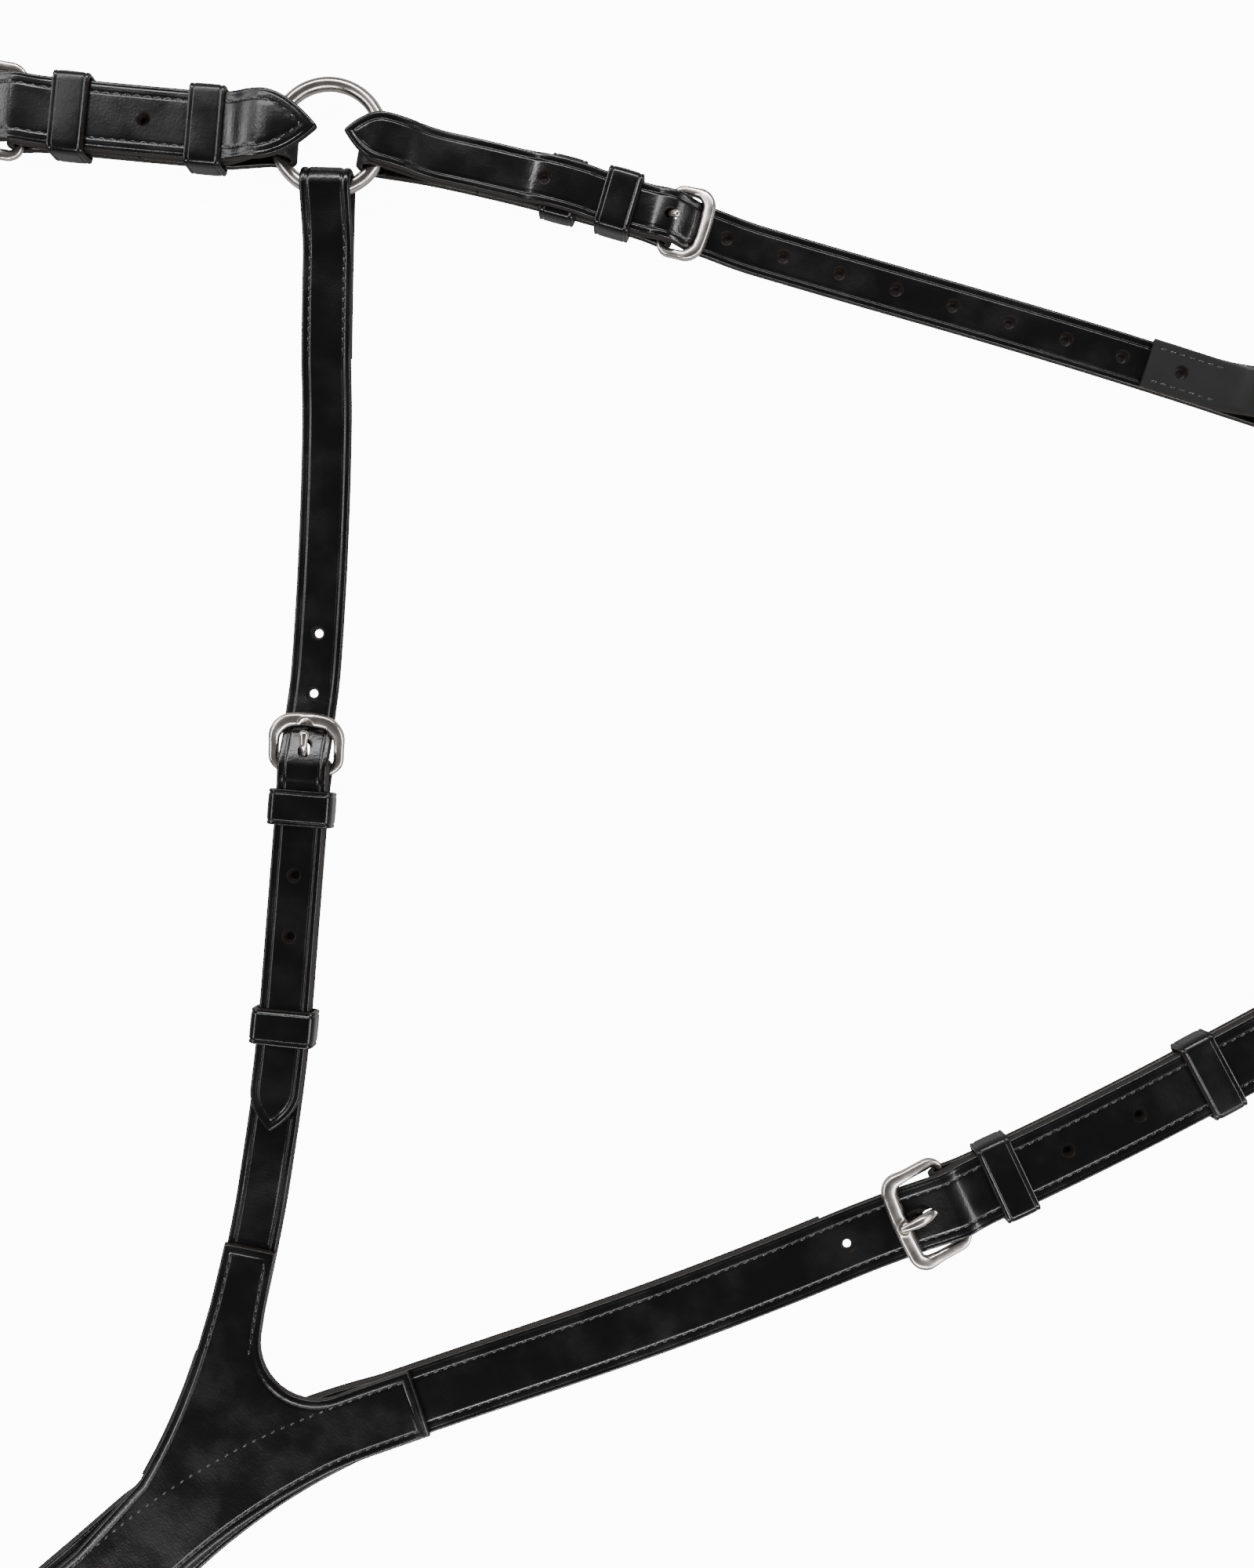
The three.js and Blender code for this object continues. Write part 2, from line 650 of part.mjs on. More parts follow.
// ---- between-legs strap: hung on the chest ring, buckled to a chape with the girth loop
function addLegs() {
  const { tip, heel, fixed, loose, doubled, loop } = legs;
  const path = [
    [doubled, floor],
    ...roundRing(foldWide),
    [ringRadius + ringRamp, floor + layer],
    [doubled + 1, floor + layer],
    [doubled + turnedRamp, floor],
    ...throughBuckle(heel, -1, wideSpan),
    ...pointStations(tip, -1, billetTop).reverse(),
  ];
  const body = strap(legsCourse, path, pointed(tip, -1, ringWidths));
  const first = heel - wideLead;
  const above = holesFrom(first - 2 * widePitch, widePitch, 2);
  const below = holesFrom(first + 2 * widePitch, widePitch, 2);
  const holes = punch(body, legsCourse, [...above, ...below]);
  add('legs_strap', surface(tongueHole(holes, legsCourse, heel, -1)), blackLeather);
  const chape = cutSlot(loopedChape(legsCourse, heel, loop, wide), legsCourse, heel, -1);
  add('legs_chape', surface(chape), blackLeather);
  addBuckle(add, 'legs', legsCourse, heel, -1, wide, wideSpan);
  const spots = [['fixed', fixed, billetCover], ['loose', loose, billetCover]];
  addKeepers(add, 'legs', legsCourse, spots, wide);
}

function addRings() {
  const ring = new THREE.TorusGeometry(ringRadius, ringWire, 8, 24);
  addPair('wither_ring', ring, satinSteel, { ...ringAt, z: ringHeight, heading: 0 });
  add('chest_ring', ring, satinSteel, { ...chestRingAt, z: ringHeight, heading: 0 });
}

addRings();
addWither();
addSaddle();
addShoulder();
addChest();
addLegs();

// The origin is at the middle of the whole layout, on the ground.
group.updateMatrixWorld(true);
const box = new THREE.Box3().setFromObject(group);
group.position.set(0, -(box.min.y + box.max.y) / 2, -box.min.z);

export default group;
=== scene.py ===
"""A five-point leather breastplate for a horse, laid out flat, finished round its fixed frame.

Lengths are worked out in millimetres and set down in metres. A strap is drawn from the side,
as a line of heights along its length, and then laid along a course on the ground.
"""

import math

import bmesh
import bpy
from bpy.props import FloatProperty, FloatVectorProperty, PointerProperty
from mathutils import Matrix, Vector


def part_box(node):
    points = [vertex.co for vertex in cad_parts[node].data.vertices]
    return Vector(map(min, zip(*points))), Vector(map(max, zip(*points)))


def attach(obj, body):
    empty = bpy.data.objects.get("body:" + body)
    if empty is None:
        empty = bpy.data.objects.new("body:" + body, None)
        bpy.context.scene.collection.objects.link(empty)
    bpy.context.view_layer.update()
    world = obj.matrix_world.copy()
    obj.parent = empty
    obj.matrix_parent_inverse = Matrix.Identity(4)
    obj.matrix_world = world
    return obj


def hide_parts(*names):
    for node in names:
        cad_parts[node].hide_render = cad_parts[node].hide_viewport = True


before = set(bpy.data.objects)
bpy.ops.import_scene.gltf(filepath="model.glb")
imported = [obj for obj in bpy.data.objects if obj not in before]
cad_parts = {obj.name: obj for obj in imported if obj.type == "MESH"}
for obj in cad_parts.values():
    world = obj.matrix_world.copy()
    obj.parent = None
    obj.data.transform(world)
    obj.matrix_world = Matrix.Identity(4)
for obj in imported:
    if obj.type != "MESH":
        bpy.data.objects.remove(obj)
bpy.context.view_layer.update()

bl_info = {
    "name": "Horse Breastplate",
    "version": (1, 0, 0),
    "blender": (4, 5, 0),
    "location": "3D View > Sidebar > Breastplate",
    "description": "Finishes a five-point leather breastplate round its fixed frame",
    "category": "Object",
}

MM = 0.001
WELD = 2e-6
SIDES = ("right", "left")

# Places along each strap, in millimetres from the centre of the ring that it starts at.
# front is the way from a buckle's heel bar to its front bar.
WITHER = {"tip": 2.4, "heel": 99, "fixed": 82.5, "loose": 39, "joint": 60, "hole": 58.8, "front": 1}
SADDLE = {"tip": 6.5, "heel": 110.5, "fixed": 76.5, "loose": 95, "joint": 50, "loop": 340, "front": 1}
SHOULDER = {
    "tip": 317.6, "heel": 202.7, "fixed": 214.5, "loose": 284.5, "doubled": 69, "end": 392, "front": -1,
}
GIRTH = {"tip": 560, "heel": 430, "fixed": 448, "loose": 521, "loop": 650, "lining": 388, "front": -1}
LEGS = {"tip": 300, "heel": 190, "fixed": 208, "loose": 268, "doubled": 80, "loop": 470, "front": -1}
OVERLAY = {"from": 36, "to": 247, "arm": 356}
FORK_ON_SHOULDER = 456
FORK_ON_CHEST = 150
CHEST_START = 74  # where the chest strap's turned end stops

GAP = 0.25  # clear space between neighbouring layers
LOOP_RISE = 5.4  # half the height of a girth loop's centre line
DEE_RISE = 4.6  # half the height of a saddle loop's centre line
GIRTH_LOOP = 62
DEE_LOOP = 30
WIDE_POINT = (19, 1.9)  # length of a wide billet's point, and how arched it is
NARROW_POINT = (13, 2.1)
RING_RAMP = 15  # run in which a fold closes up beside a ring
BAR_RAMP = 5.6  # run in which a chape closes up behind a heel bar
BESIDE_RING = 5
# Heel bar to the middle of the hole that the tongue is in.
TONGUE_HOLES = {"wither": 9.2, "saddle": 1.9, "shoulder": 7.0, "girth": 9.2, "legs": 9.2}
TONGUE_STRETCH = 1.3  # how far a tongue draws its hole out along the strap
TONGUE_SNUG = 0.8  # how much of a punched hole's width a tongue's hole keeps
HOLE_TAPER = 0.7  # how much narrower a punched hole is at its bottom
SADDLE_HOLE_DEEP = 1.9  # the saddle strap's holes stop at its lining
SHORT_PITCH, SADDLE_PITCH, LONG_PITCH = 19.5, 19, 25.4
# Heel bar to the place that a row of holes is counted from.
FIRST_HOLES = {"saddle": 1.7, "shoulder": 5.8, "girth": 11.5, "legs": 11.5}

HEEL_BAR = (1.5, 0.9)  # half the width and half the height of a heel bar
TILT = math.radians(12)  # slope of a buckle's frame on its strap
NARROW_SPAN, SHORT_SPAN, WIDE_SPAN = 15.2, 12.5, 18.5
LEAD_IN = 14  # run in which a billet rises from the ground to a front bar
FRONT_REST = 2  # half of the run in which it lies under the front bar
FRONT_SLACK = 0.1
FRONT_RISE = 0.2
HEEL_SHOULDER = (3.5, 0.7)  # where a billet begins to bend over the heel bar, and how much lower
POINT_RUN = 19  # the last run of a billet, which lies level

LOOP_LEAD, LOOP_RAMP, LOOP_LAP = 26, 12, 6  # how a girth loop opens out of its doubled strap
DEE_RAMP, DEE_LAP = 12, 38
HUMP_CLEAR, HUMP_RISE, HUMP_FALL = 1, 5, 4  # a billet's hump over the keeper under it

WIDE_SEAM = 3.7  # distance from a strap's side to its stitches
SADDLE_SEAM, SHOULDER_SEAM, OVERLAY_SEAM = 2.6, 2.5, 2.8
HOLE_SHADE_RADIUS = 0.45  # radius of the near-black disc of painted shade at the needle hole between two stitches
HOLE_SHADE_TALL = 0.14
HOLE_SHADE_SUNK = 0.08
THREAD_SUNK = 0.14
STITCH_SLANT = math.radians(9)

SIDE_CLEAR = 0.8  # between a keeper and the sides of its strap
KEEPER_CORNER = 1.9
KEEPER_CROWN, KEEPER_ROUND = 0.14, 0.55
KEEPER_CREASE = (1.35, 0.42, 0.24)  # distance from the edge, half width and depth
KEEPER_INNER = 0.2

CORNER_ROOM = 4.8  # room that an outline keeps clear beside its corners
# From a plate's edge inwards, (inset, rise): rounded rim, land, sewing channel.
PLATE_RIM = [
    (0.04, 0.24), (0.12, 0.22), (0.22, 0.17), (0.37, 0.12), (1.5, 0.03), (0.2, -0.1),
    (0.22, -0.12), (0.22, 0.0), (0.22, 0.12), (0.2, 0.1), (0.5, 0.0),
]
RIM_TALL = 0.75
PLATE_GRAIN = (0.8, 0.6)  # cosine and sine of the way that a plate was cut from the hide

SHARP = math.radians(38)  # edges that turn more than this stay sharp
FLOOR_SIZE = 6.0
FLOOR_SEEN, FLOOR_GLOW = 12.0, 0.15  # how bright the floor looks, and how much it lights the rest
LAMP_AWAY = 1.6
CAMERA_PLACE = (0.268, 0.2913, 0.457)
LENS, SENSOR = 32.4, 36.0


def size(name):
    """A size from the panel, in millimetres."""
    return getattr(bpy.context.scene.breastplate_sizes, name) / MM


def colour(name):
    return (*getattr(bpy.context.scene.breastplate_colours, name), 1.0)


# ---------------------------------------------------------------- heights of the layers
class Layers:
    """Heights of the stacked layers, centre lines, worked out from the leather's thickness."""

    def __init__(self):
        self.thick = size("leather_thick")
        self.band = size("keeper_thick")
        self.layer = self.thick + GAP
        self.floor = self.thick / 2
        self.lifted = self.band + GAP + self.thick / 2
        self.chape_top = self.lifted + self.layer
        self.billet_top = self.chape_top + self.layer
        self.billet_cover = self.billet_top + self.thick / 2
        self.overlay = self.floor + 2 * self.layer
        self.ring = self.wrap(size("fold_width")) + self.thick / 2
        self.bar_radius = math.hypot(*HEEL_BAR)
        self.bar = self.thick + GAP + self.bar_radius
        self.bar_wrap = self.bar_radius + GAP + self.thick / 2
        self.over_ring = self.ring + self.wrap(size("fold_width")) + self.layer
        self.over_bar = self.bar + self.bar_wrap + self.layer

    def sagitta(self, width):
        radius = size("ring_radius")
        return radius - math.sqrt(radius**2 - (width / 2) ** 2)

    def wrap(self, width):
        radius = size("ring_radius")
        seat = radius - self.sagitta(width)
        return size("ring_wire") * radius / seat + self.sagitta(width) / 2 + GAP + self.thick / 2


# ---------------------------------------------------------------- courses on the ground
def on_arc(x, y, heading, bend, distance):
    turned = heading + bend * distance
    if abs(bend) < 1e-9:
        return x + distance * math.cos(heading), y + distance * math.sin(heading), heading
    x += (math.sin(turned) - math.sin(heading)) / bend
    y += (math.cos(heading) - math.cos(turned)) / bend
    return x, y, turned


def course(x, y, degrees, bends):
    """A chain of arcs, each (length, turn in degrees). Gives the place and heading at a distance."""
    arcs = []
    s, heading = 0.0, math.radians(degrees)
    for length, turn in bends:
        bend = math.radians(turn) / length
        arcs.append((s, x, y, heading, bend))
        x, y, heading = on_arc(x, y, heading, bend, length)
        s += length
    arcs.append((s, x, y, heading, 0.0))

    def at(distance):
        arc = arcs[0]
        for one in arcs:
            if one[0] <= distance:
                arc = one
        return on_arc(*arc[1:], distance - arc[0])

    return at


SHOULDER_BENDS = [(80, 1.6), (100, -4.3), (90, 0.3), (80, -6.8), (40, -1.6), (60, -16), (60, -12)]
CHEST_BENDS = [(70, 0.8), (75, 2.5), (85, -22.1), (60, -0.7), (230, 9.7)]
SADDLE_BENDS = [(100, -7.8), (100, 0.9), (160, -3.6)]
WITHER_LEAD = (80, -2)


def centre_of(node):
    low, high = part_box(node)
    return (low + high) / (2 * MM)


class Routes:
    """The courses of the straps on the wearer's one side; the other side is their mirror."""

    def __init__(self, layers):
        ring = centre_of("right_wither_ring")
        chest = centre_of("chest_ring")
        self.ring, self.chest_ring = ring, chest
        self.ground = ring.z - layers.ring
        self.saddle = course(ring.x, ring.y, -9, SADDLE_BENDS)
        self.shoulder = course(ring.x, ring.y, -92, SHOULDER_BENDS)
        self.chest = course(chest.x, chest.y, 37.9, CHEST_BENDS)
        self.legs = course(chest.x, chest.y, -90, [])
        lead_x, _, lead_heading = course(ring.x, ring.y, 176.2, [WITHER_LEAD])(WITHER_LEAD[0])
        level = math.pi - lead_heading
        rest = lead_x * level / math.sin(level)
        self.wither = course(ring.x, ring.y, 176.2, [WITHER_LEAD, (rest, math.degrees(level))])
        self.middle = WITHER_LEAD[0] + rest


# ---------------------------------------------------------------- side views
def half_turn(along, height, radius, side):
    steps = 12
    angles = [(i / steps - 0.5) * math.pi for i in range(steps + 1)]
    return [(along + side * radius * math.cos(a), height + radius * math.sin(a)) for a in angles]


def eased(path, reach=3.2):
    """The line with its corners cut again and again, so that leather bends and doesn't crease."""
    points = [Vector(p) for p in path]
    for _ in range(3):
        cut = [points[0]]
        for before, corner, after in zip(points, points[1:], points[2:]):
            for end in (before, after):
                away = end - corner
                cut.append(corner + away * min(0.3, reach / away.length))
        cut.append(points[-1])
        points = cut
        reach /= 2
    return points


def spaced(points, tips, coarse=2.6, fine=0.45):
    """The line cut into short steps, shorter still beside a billet's point."""
    rows = [points[0]]
    for point in points[1:]:
        away = point - rows[-1]
        if away.length < 0.2 and point is not points[-1]:
            continue
        start = rows[-1]
        near = any(abs(start.x - tip) < long + 1 and abs(point.x - tip) < long + 3 for tip, _, long, _ in tips)
        count = max(1, math.ceil(away.length / (fine if near else coarse)))
        rows += [start + away * (k / count) for k in range(1, count + 1)]
    return rows


def through_buckle(layers, heel, front, span):
    """A billet from its flat run, under the front bar, over the heel bar and down on the chape."""
    under_bar = layers.bar + span * math.sin(TILT) - HEEL_BAR[0] - GAP
    front_height = under_bar - layers.thick / 2 - FRONT_SLACK
    bend, drop = HEEL_SHOULDER
    return [
        (heel + front * (span + LEAD_IN), layers.floor),
        (heel + front * (span + FRONT_REST), front_height),
        (heel + front * (span - FRONT_REST), front_height + FRONT_RISE),
        (heel + front * bend, layers.over_bar - drop),
        (heel, layers.over_bar),
        (heel - front * BAR_RAMP, layers.billet_top),
    ]


def round_ring(layers, width):
    seat = size("ring_radius") - layers.sagitta(width) / 2
    wrap = layers.wrap(width)
    run = seat + BESIDE_RING / 3
    turn = half_turn(seat, layers.ring, wrap, -1)
    return [(run, layers.ring - wrap), *turn, (run, layers.ring + wrap)]


def tapered(points):
    """Width along a strap, straight between (along, width) points."""

    def at(s):
        if s <= points[0][0]:
            return points[0][1]
        for (s0, w0), (s1, w1) in zip(points, points[1:]):
            if s <= s1:
                return w0 + (w1 - w0) * (s - s0) / (s1 - s0)
        return points[-1][1]

    return at


def face(edge, grooves=()):
    """Height of a strap's top against the distance from its edge: rounded rim, grooves, crown."""
    crown = 0.12

    def rise(distance, half):
        lift = crown * (1 - (1 - min(distance / half, 1)) ** 2)
        if distance < edge:
            lift -= edge - math.sqrt(edge**2 - (edge - distance) ** 2)
        for at, wide, deep in grooves:
            share = (distance - at) / wide
            if abs(share) < 1:
                lift -= deep * (1 - share**2) ** 2
        return lift

    return rise


CREASED = face(0.9, [(2.4, 0.8, 0.32)])
STITCHED = face(0.75, [(3.7, 0.7, 0.16), (1.5, 0.3, 0.06)])
PLAIN = face(0.6)
# Distances from a strap's side at which its top and underside have points, and shares on to the middle.
OUTER_COLUMNS = [
    4.6, 4.3, 4.0, 3.7, 3.4, 3.1, 2.8, 2.6, 2.4, 2.2, 2.0, 1.8, 1.6, 1.4, 1.2, 1.0, 0.75, 0.5, 0.3, 0.12, 0.0,
]
INNER_SHARES = [1.0, 0.75, 0.5, 0.25]
UNDER_EDGE = [(0.0, 0.4), (0.12, 0.12), (0.4, 0.0), (2.0, 0.0)]


def weave(rows, columns, place):
    """A grid whose points are set down one by one, welded where it meets itself."""
    bm = bmesh.new()
    bmesh.ops.create_grid(bm, x_segments=columns - 1, y_segments=rows - 1, size=1.0)
    run = bm.loops.layers.uv.new("strap_run")
    edge = bm.loops.layers.uv.new("edge_wear")
    marks = []
    for k, vert in enumerate(bm.verts):
        point, along, off, wear, *cut = place(*divmod(k, columns))
        vert.co = Vector(point) * MM
        marks.append(((along * MM, off * MM), (wear, cut[0] if cut else 0.0)))
    bm.verts.index_update()
    for one in bm.faces:
        for loop in one.loops:
            loop[run].uv, loop[edge].uv = marks[loop.vert.index]
    bmesh.ops.remove_doubles(bm, verts=bm.verts, dist=WELD)
    close(bm)
    return bm


def close(bm):
    rims = [e for e in bm.edges if e.is_boundary]
    if rims:
        bmesh.ops.holes_fill(bm, edges=rims, sides=0)
    bmesh.ops.recalc_face_normals(bm, faces=bm.faces)
    if bm.calc_volume(signed=True) < 0:
        bmesh.ops.reverse_faces(bm, faces=bm.faces)


class Strap:
    """A flat strap: the side view of its middle line, laid along a course."""

    def __init__(self, route, ground, path, width, tips=(), finish=CREASED):
        self.route, self.ground, self.tips, self.finish = route, ground, tips, finish
        self.thick = size("leather_thick")
        self.width = width if callable(width) else lambda _: width
        self.rows = spaced(eased(path), tips)
        steps = [(b - a).normalized() for a, b in zip(self.rows, self.rows[1:])]
        ways = [(a + b).normalized() for a, b in zip([steps[0], *steps], [*steps, steps[-1]])]
        self.across = [Vector((-way.y, way.x)) for way in ways]
        self.outlines = [self.outline(*tip) for tip in tips]

    def narrowing(self, s):
        factor = 1.0
        for tip, side, long, arch in self.tips:
            share = min(1, max(0, side * (s - tip) / long))
            factor = min(factor, 0.035 + 0.965 * (1 - (1 - share) ** arch))
        return factor

    def half(self, s):
        return self.width(s) / 2 * self.narrowing(s)

    def outline(self, tip, side, long, _):
        count = 30
        places = [tip + side * (long + 2) * (k / count) ** 1.6 for k in range(count + 1)]
        return [(tip, 0.0)] + [(s, self.half(s)) for s in places]

    def from_edge(self, s, v, plain):
        """Distance from a strap's rim, round its point as well as along its sides."""
        for (tip, _, long, _), outline in zip(self.tips, self.outlines):
            if abs(s - tip) < long:
                spot = Vector((s, abs(v)))
                return min(to_segment(spot, a, b) for a, b in zip(outline, outline[1:]))
        return plain

    def lay(self, s, v, z):
        x, y, heading = self.route(s)
        return x - v * math.sin(heading), y + v * math.cos(heading), z + self.ground

    def top(self, s):
        """Height of the uppermost layer's face at a place along the strap."""
        best = -1.0
        for a, b in zip(self.rows, self.rows[1:]):
            if min(a.x, b.x) <= s <= max(a.x, b.x) and abs(a.x - b.x) > 1e-6:
                best = max(best, a.y + (b.y - a.y) * (s - a.x) / (b.x - a.x))
        if best < 0:
            raise ValueError(f"the strap does not reach {s}")
        return best + self.thick / 2

    def section(self):
        """Points of one half of the cross-section: (distance in, share to the middle, height)."""
        deepest = OUTER_COLUMNS[0]
        top = [(deepest, share, None) for share in INNER_SHARES]
        top += [(distance, 0.0, None) for distance in OUTER_COLUMNS]
        low = -self.thick / 2
        under = [(distance, 0.0, low + height) for distance, height in UNDER_EDGE]
        return top + under + [(deepest, 1.0, low)]

    def mesh(self):
        half = self.section()
        loop = [(1, *p) for p in half] + [(-1, *p) for p in reversed(half)]

        def place(i, j):
            row, across = self.rows[i], self.across[i]
            side, distance, share, height = loop[j]
            cut = 0.0 if height is None and distance > 0 else 1.0
            limit = self.half(row.x)
            scale = self.narrowing(row.x)
            near = distance * scale
            near += (limit - near) * share
            off = side * (limit - near)
            apart = self.from_edge(row.x, off, near)
            if height is None:
                height = self.thick / 2 + self.finish(apart, limit)
            spot = row + across * height
            return self.lay(spot.x, off, spot.y), row.x, off, apart, cut

        return weave(len(self.rows), len(loop), place)


def to_segment(spot, a, b):
    a, b = Vector(a), Vector(b)
    away = b - a
    if away.length < 1e-9:
        return (spot - a).length
    share = min(1, max(0, (spot - a).dot(away) / away.length_squared))
    return (spot - a - away * share).length


# ---------------------------------------------------------------- holes
def pin(route, ground, s, top, radius, stretch=0.0, flare=0.4, deep=30.0, taper=0.0):
    """A cutter for a punched hole or slot, with a flare where it leaves the leather's face."""
    x, y, heading = route(s)
    steps = 28
    levels = [(-deep, -taper), (-min(deep - 0.1, 1.9), -taper), (-0.45, 0), (-0.1, flare * 0.45),
              (0.15, flare), (30.0, flare)]

    def place(i, j):
        angle = 2 * math.pi * j / steps
        depth, wider = levels[i]
        along = (radius + wider) * math.cos(angle)
        along += stretch * (1 if along > 1e-9 else -1 if along < -1e-9 else 0)
        off = (radius + wider) * math.sin(angle)
        spot = (x + along * math.cos(heading) - off * math.sin(heading),
                y + along * math.sin(heading) + off * math.cos(heading), top + depth + ground)
        return spot, 0, 0, 0

    return weave(len(levels), steps + 1, place)


def joined(parts):
    whole = bmesh.new()
    for part in parts:
        scratch = bpy.data.meshes.new("scratch")
        part.to_mesh(scratch)
        part.free()
        whole.from_mesh(scratch)
        bpy.data.meshes.remove(scratch)
    return whole


def as_object(name, bm):
    mesh = bpy.data.meshes.new(name)
    bm.to_mesh(mesh)
    bm.free()
    thing = bpy.data.objects.new(name, mesh)
    bpy.context.scene.collection.objects.link(thing)
    return thing


def carve(bm, cutters):
    """The piece with the cutters taken away from it."""
    thing = as_object("uncut", bm)
    tool = as_object("cutter", joined(cutters))
    modifier = thing.modifiers.new("holes", "BOOLEAN")
    modifier.object = tool
    modifier.operation = "DIFFERENCE"
    modifier.solver = "MANIFOLD"
    depsgraph = bpy.context.evaluated_depsgraph_get()
    mesh = bpy.data.meshes.new_from_object(thing.evaluated_get(depsgraph), depsgraph=depsgraph)
    cut = bmesh.new()
    cut.from_mesh(mesh)
    for one in (thing, tool):
        old = one.data
        bpy.data.objects.remove(one)
        bpy.data.meshes.remove(old)
    bpy.data.meshes.remove(mesh)
    return cut


def strap_holes(strap, places, tongue, deep=30.0):
    """Cutters for the punched holes, which a lining may close below, and the tongue's worn one."""
    radius = size("hole_radius")
    route, ground = strap.route, strap.ground
    pins = [pin(route, ground, s, strap.top(s), radius, deep=deep, taper=HOLE_TAPER) for s in places]
    stretch = radius * (TONGUE_STRETCH - 1)
    return [*pins, pin(route, ground, tongue, strap.top(tongue), radius * TONGUE_SNUG, stretch)]


def chape_slot(strap, heel, front):
    """A cutter for the slot at a chape's fold, which the tongue comes through."""
    return [pin(strap.route, strap.ground, heel + front, 10, 2.8, 2.2, 0.0)]


# ---------------------------------------------------------------- finished pieces
def finished(name, bm, material, body, node=None):
    """Puts a mesh in the scene on its body; it stands for its node where it has one."""
    thing = as_object(name, bm)
    thing.data.materials.append(material)
    thing.data.shade_smooth()
    thing.data.set_sharp_from_angle(angle=SHARP)
    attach(thing, body)
    if node:
        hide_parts(node)
    return thing


def reflected(bm):
    """A copy of the mesh on the other side of the middle line."""
    other = bm.copy()
    bmesh.ops.scale(other, verts=other.verts, vec=(-1, 1, 1))
    bmesh.ops.reverse_faces(other, faces=other.faces)
    return other


def both_sides(part, bm, material, body="harness", stands=True):
    """The same piece on both sides, on the side's own body unless it belongs to the harness."""
    meshes = {"right": bm, "left": reflected(bm)}
    for side in SIDES:
        rider = body if body == "harness" else f"{side}_{body}"
        node = f"{side}_{part}" if stands else None
        finished(f"{side}_{part}_finished", meshes[side], material, rider, node)


# ---------------------------------------------------------------- stitching
def resampled(line, pitch):
    """Middles and directions of stitches laid end to end along a line."""
    points = [Vector(p) for p in line]
    lengths = [(b - a).length for a, b in zip(points, points[1:])]
    count = max(1, round(sum(lengths) / pitch))
    spots = []
    for k in range(count):
        left = (k + 0.5) * sum(lengths) / count
        for a, b, length in zip(points, points[1:], lengths):
            if left <= length:
                spots.append((a + (b - a) * (left / length), (b - a).normalized()))
                break
            left -= length
    return spots


def sew(bm, lay, line, top):
    """Threads along a line drawn on the strap as (along, off) points, with a near-black disc of painted shade
    at each needle hole.
    """
    long, wide = size("stitch_long") / 2, size("thread_thick") / 2
    layers = bm.loops.layers.uv
    hole_shade_mark = layers.get("edge_wear") or layers.new("edge_wear")
    for spot, way in resampled(line, size("stitch_pitch")):
        x, y, _ = lay(spot.x, spot.y, 0)
        ahead = spot + way * 0.5
        ahead_x, ahead_y, _ = lay(ahead.x, ahead.y, 0)
        heading = math.atan2(ahead_y - y, ahead_x - x)
        height = top(spot.x) if callable(top) else top
        rise = (top(ahead.x) - height) / 0.5 if callable(top) else 0.0
        z = lay(spot.x, spot.y, height)[2] - THREAD_SUNK
        turn = Matrix.Rotation(heading + STITCH_SLANT, 4, "Z")
        turn = turn @ Matrix.Rotation(-math.atan(rise), 4, "Y")
        matrix = Matrix.Translation(Vector((x, y, z)) * MM) @ turn
        matrix = matrix @ Matrix.Diagonal((long * MM, wide * MM, wide * 0.8 * MM, 1))
        bmesh.ops.create_icosphere(bm, subdivisions=2, radius=1.0, matrix=matrix)
        # Each needle hole gets a flat near-black disc: painted shade standing in for the shade inside the hole.
        end = spot + way * size("stitch_pitch") / 2
        rest = top(end.x) if callable(top) else top
        matrix = Matrix.Translation(Vector(lay(end.x, end.y, rest - HOLE_SHADE_SUNK)) * MM)
        matrix = matrix @ Matrix.Diagonal((HOLE_SHADE_RADIUS * MM, HOLE_SHADE_RADIUS * MM, HOLE_SHADE_TALL * MM, 1))
        hole = bmesh.ops.create_icosphere(bm, subdivisions=1, radius=1.0, matrix=matrix)
        for vert in hole["verts"]:
            for loop in vert.link_loops:
                loop[hole_shade_mark].uv = (0.0, 1.0)


def rim_line(strap, start, inset):
    """A line just inside a billet's sides, from a place on it round its point and back."""
    tip, side, long, _ = strap.tips[0]
    line = []
    count = 60
    for k in range(count + 1):
        x = (long + 2) * (1 - k / count)
        s = tip + side * x
        slope = (strap.half(s + side * 0.1) - strap.half(s)) / 0.1
        length = math.hypot(1, slope)
        off = strap.half(s) - inset / length
        along = s + side * inset * slope / length
        if off > 0.2:
            line.append((along, off))
    step = 4.0
    runs = max(1, int(abs(line[0][0] - start) / step))
    straight = [start + (line[0][0] - start) * k / runs for k in range(runs)]
    one = [(s, strap.half(s) - inset) for s in straight] + line
    return one + [(s, -off) for s, off in reversed(one)]


def edge_lines(strap, start, end, inset):
    runs = max(2, int(abs(end - start) / 4))
    places = [start + (end - start) * k / runs for k in range(runs + 1)]
    return [[(s, side * (strap.half(s) - inset)) for s in places] for side in (1, -1)]


def loop_seams(chape, at):
    """The two seams of a looped chape, from behind its buckle to its loop."""
    return edge_lines(chape, at["heel"] + 12, at["loop"] - GIRTH_LOOP - 4, WIDE_SEAM)


def thread_piece(part, lines, body="harness"):
    """Stitches for a piece on both sides: lines are (lay, line, top)."""
    bm = bmesh.new()
    for lay, line, top in lines:
        sew(bm, lay, line, top)
    both_sides(part, bm, thread_material(), body, stands=False)


# ---------------------------------------------------------------- materials
def node_group(name, inputs, outputs):
    group = bpy.data.node_groups.new(name, "ShaderNodeTree")
    for label, kind, default in inputs:
        socket = group.interface.new_socket(name=label, in_out="INPUT", socket_type=kind)
        if default is not None:
            socket.default_value = default
    for label, kind in outputs:
        group.interface.new_socket(name=label, in_out="OUTPUT", socket_type=kind)
    return group, group.nodes.new("NodeGroupInput"), group.nodes.new("NodeGroupOutput")


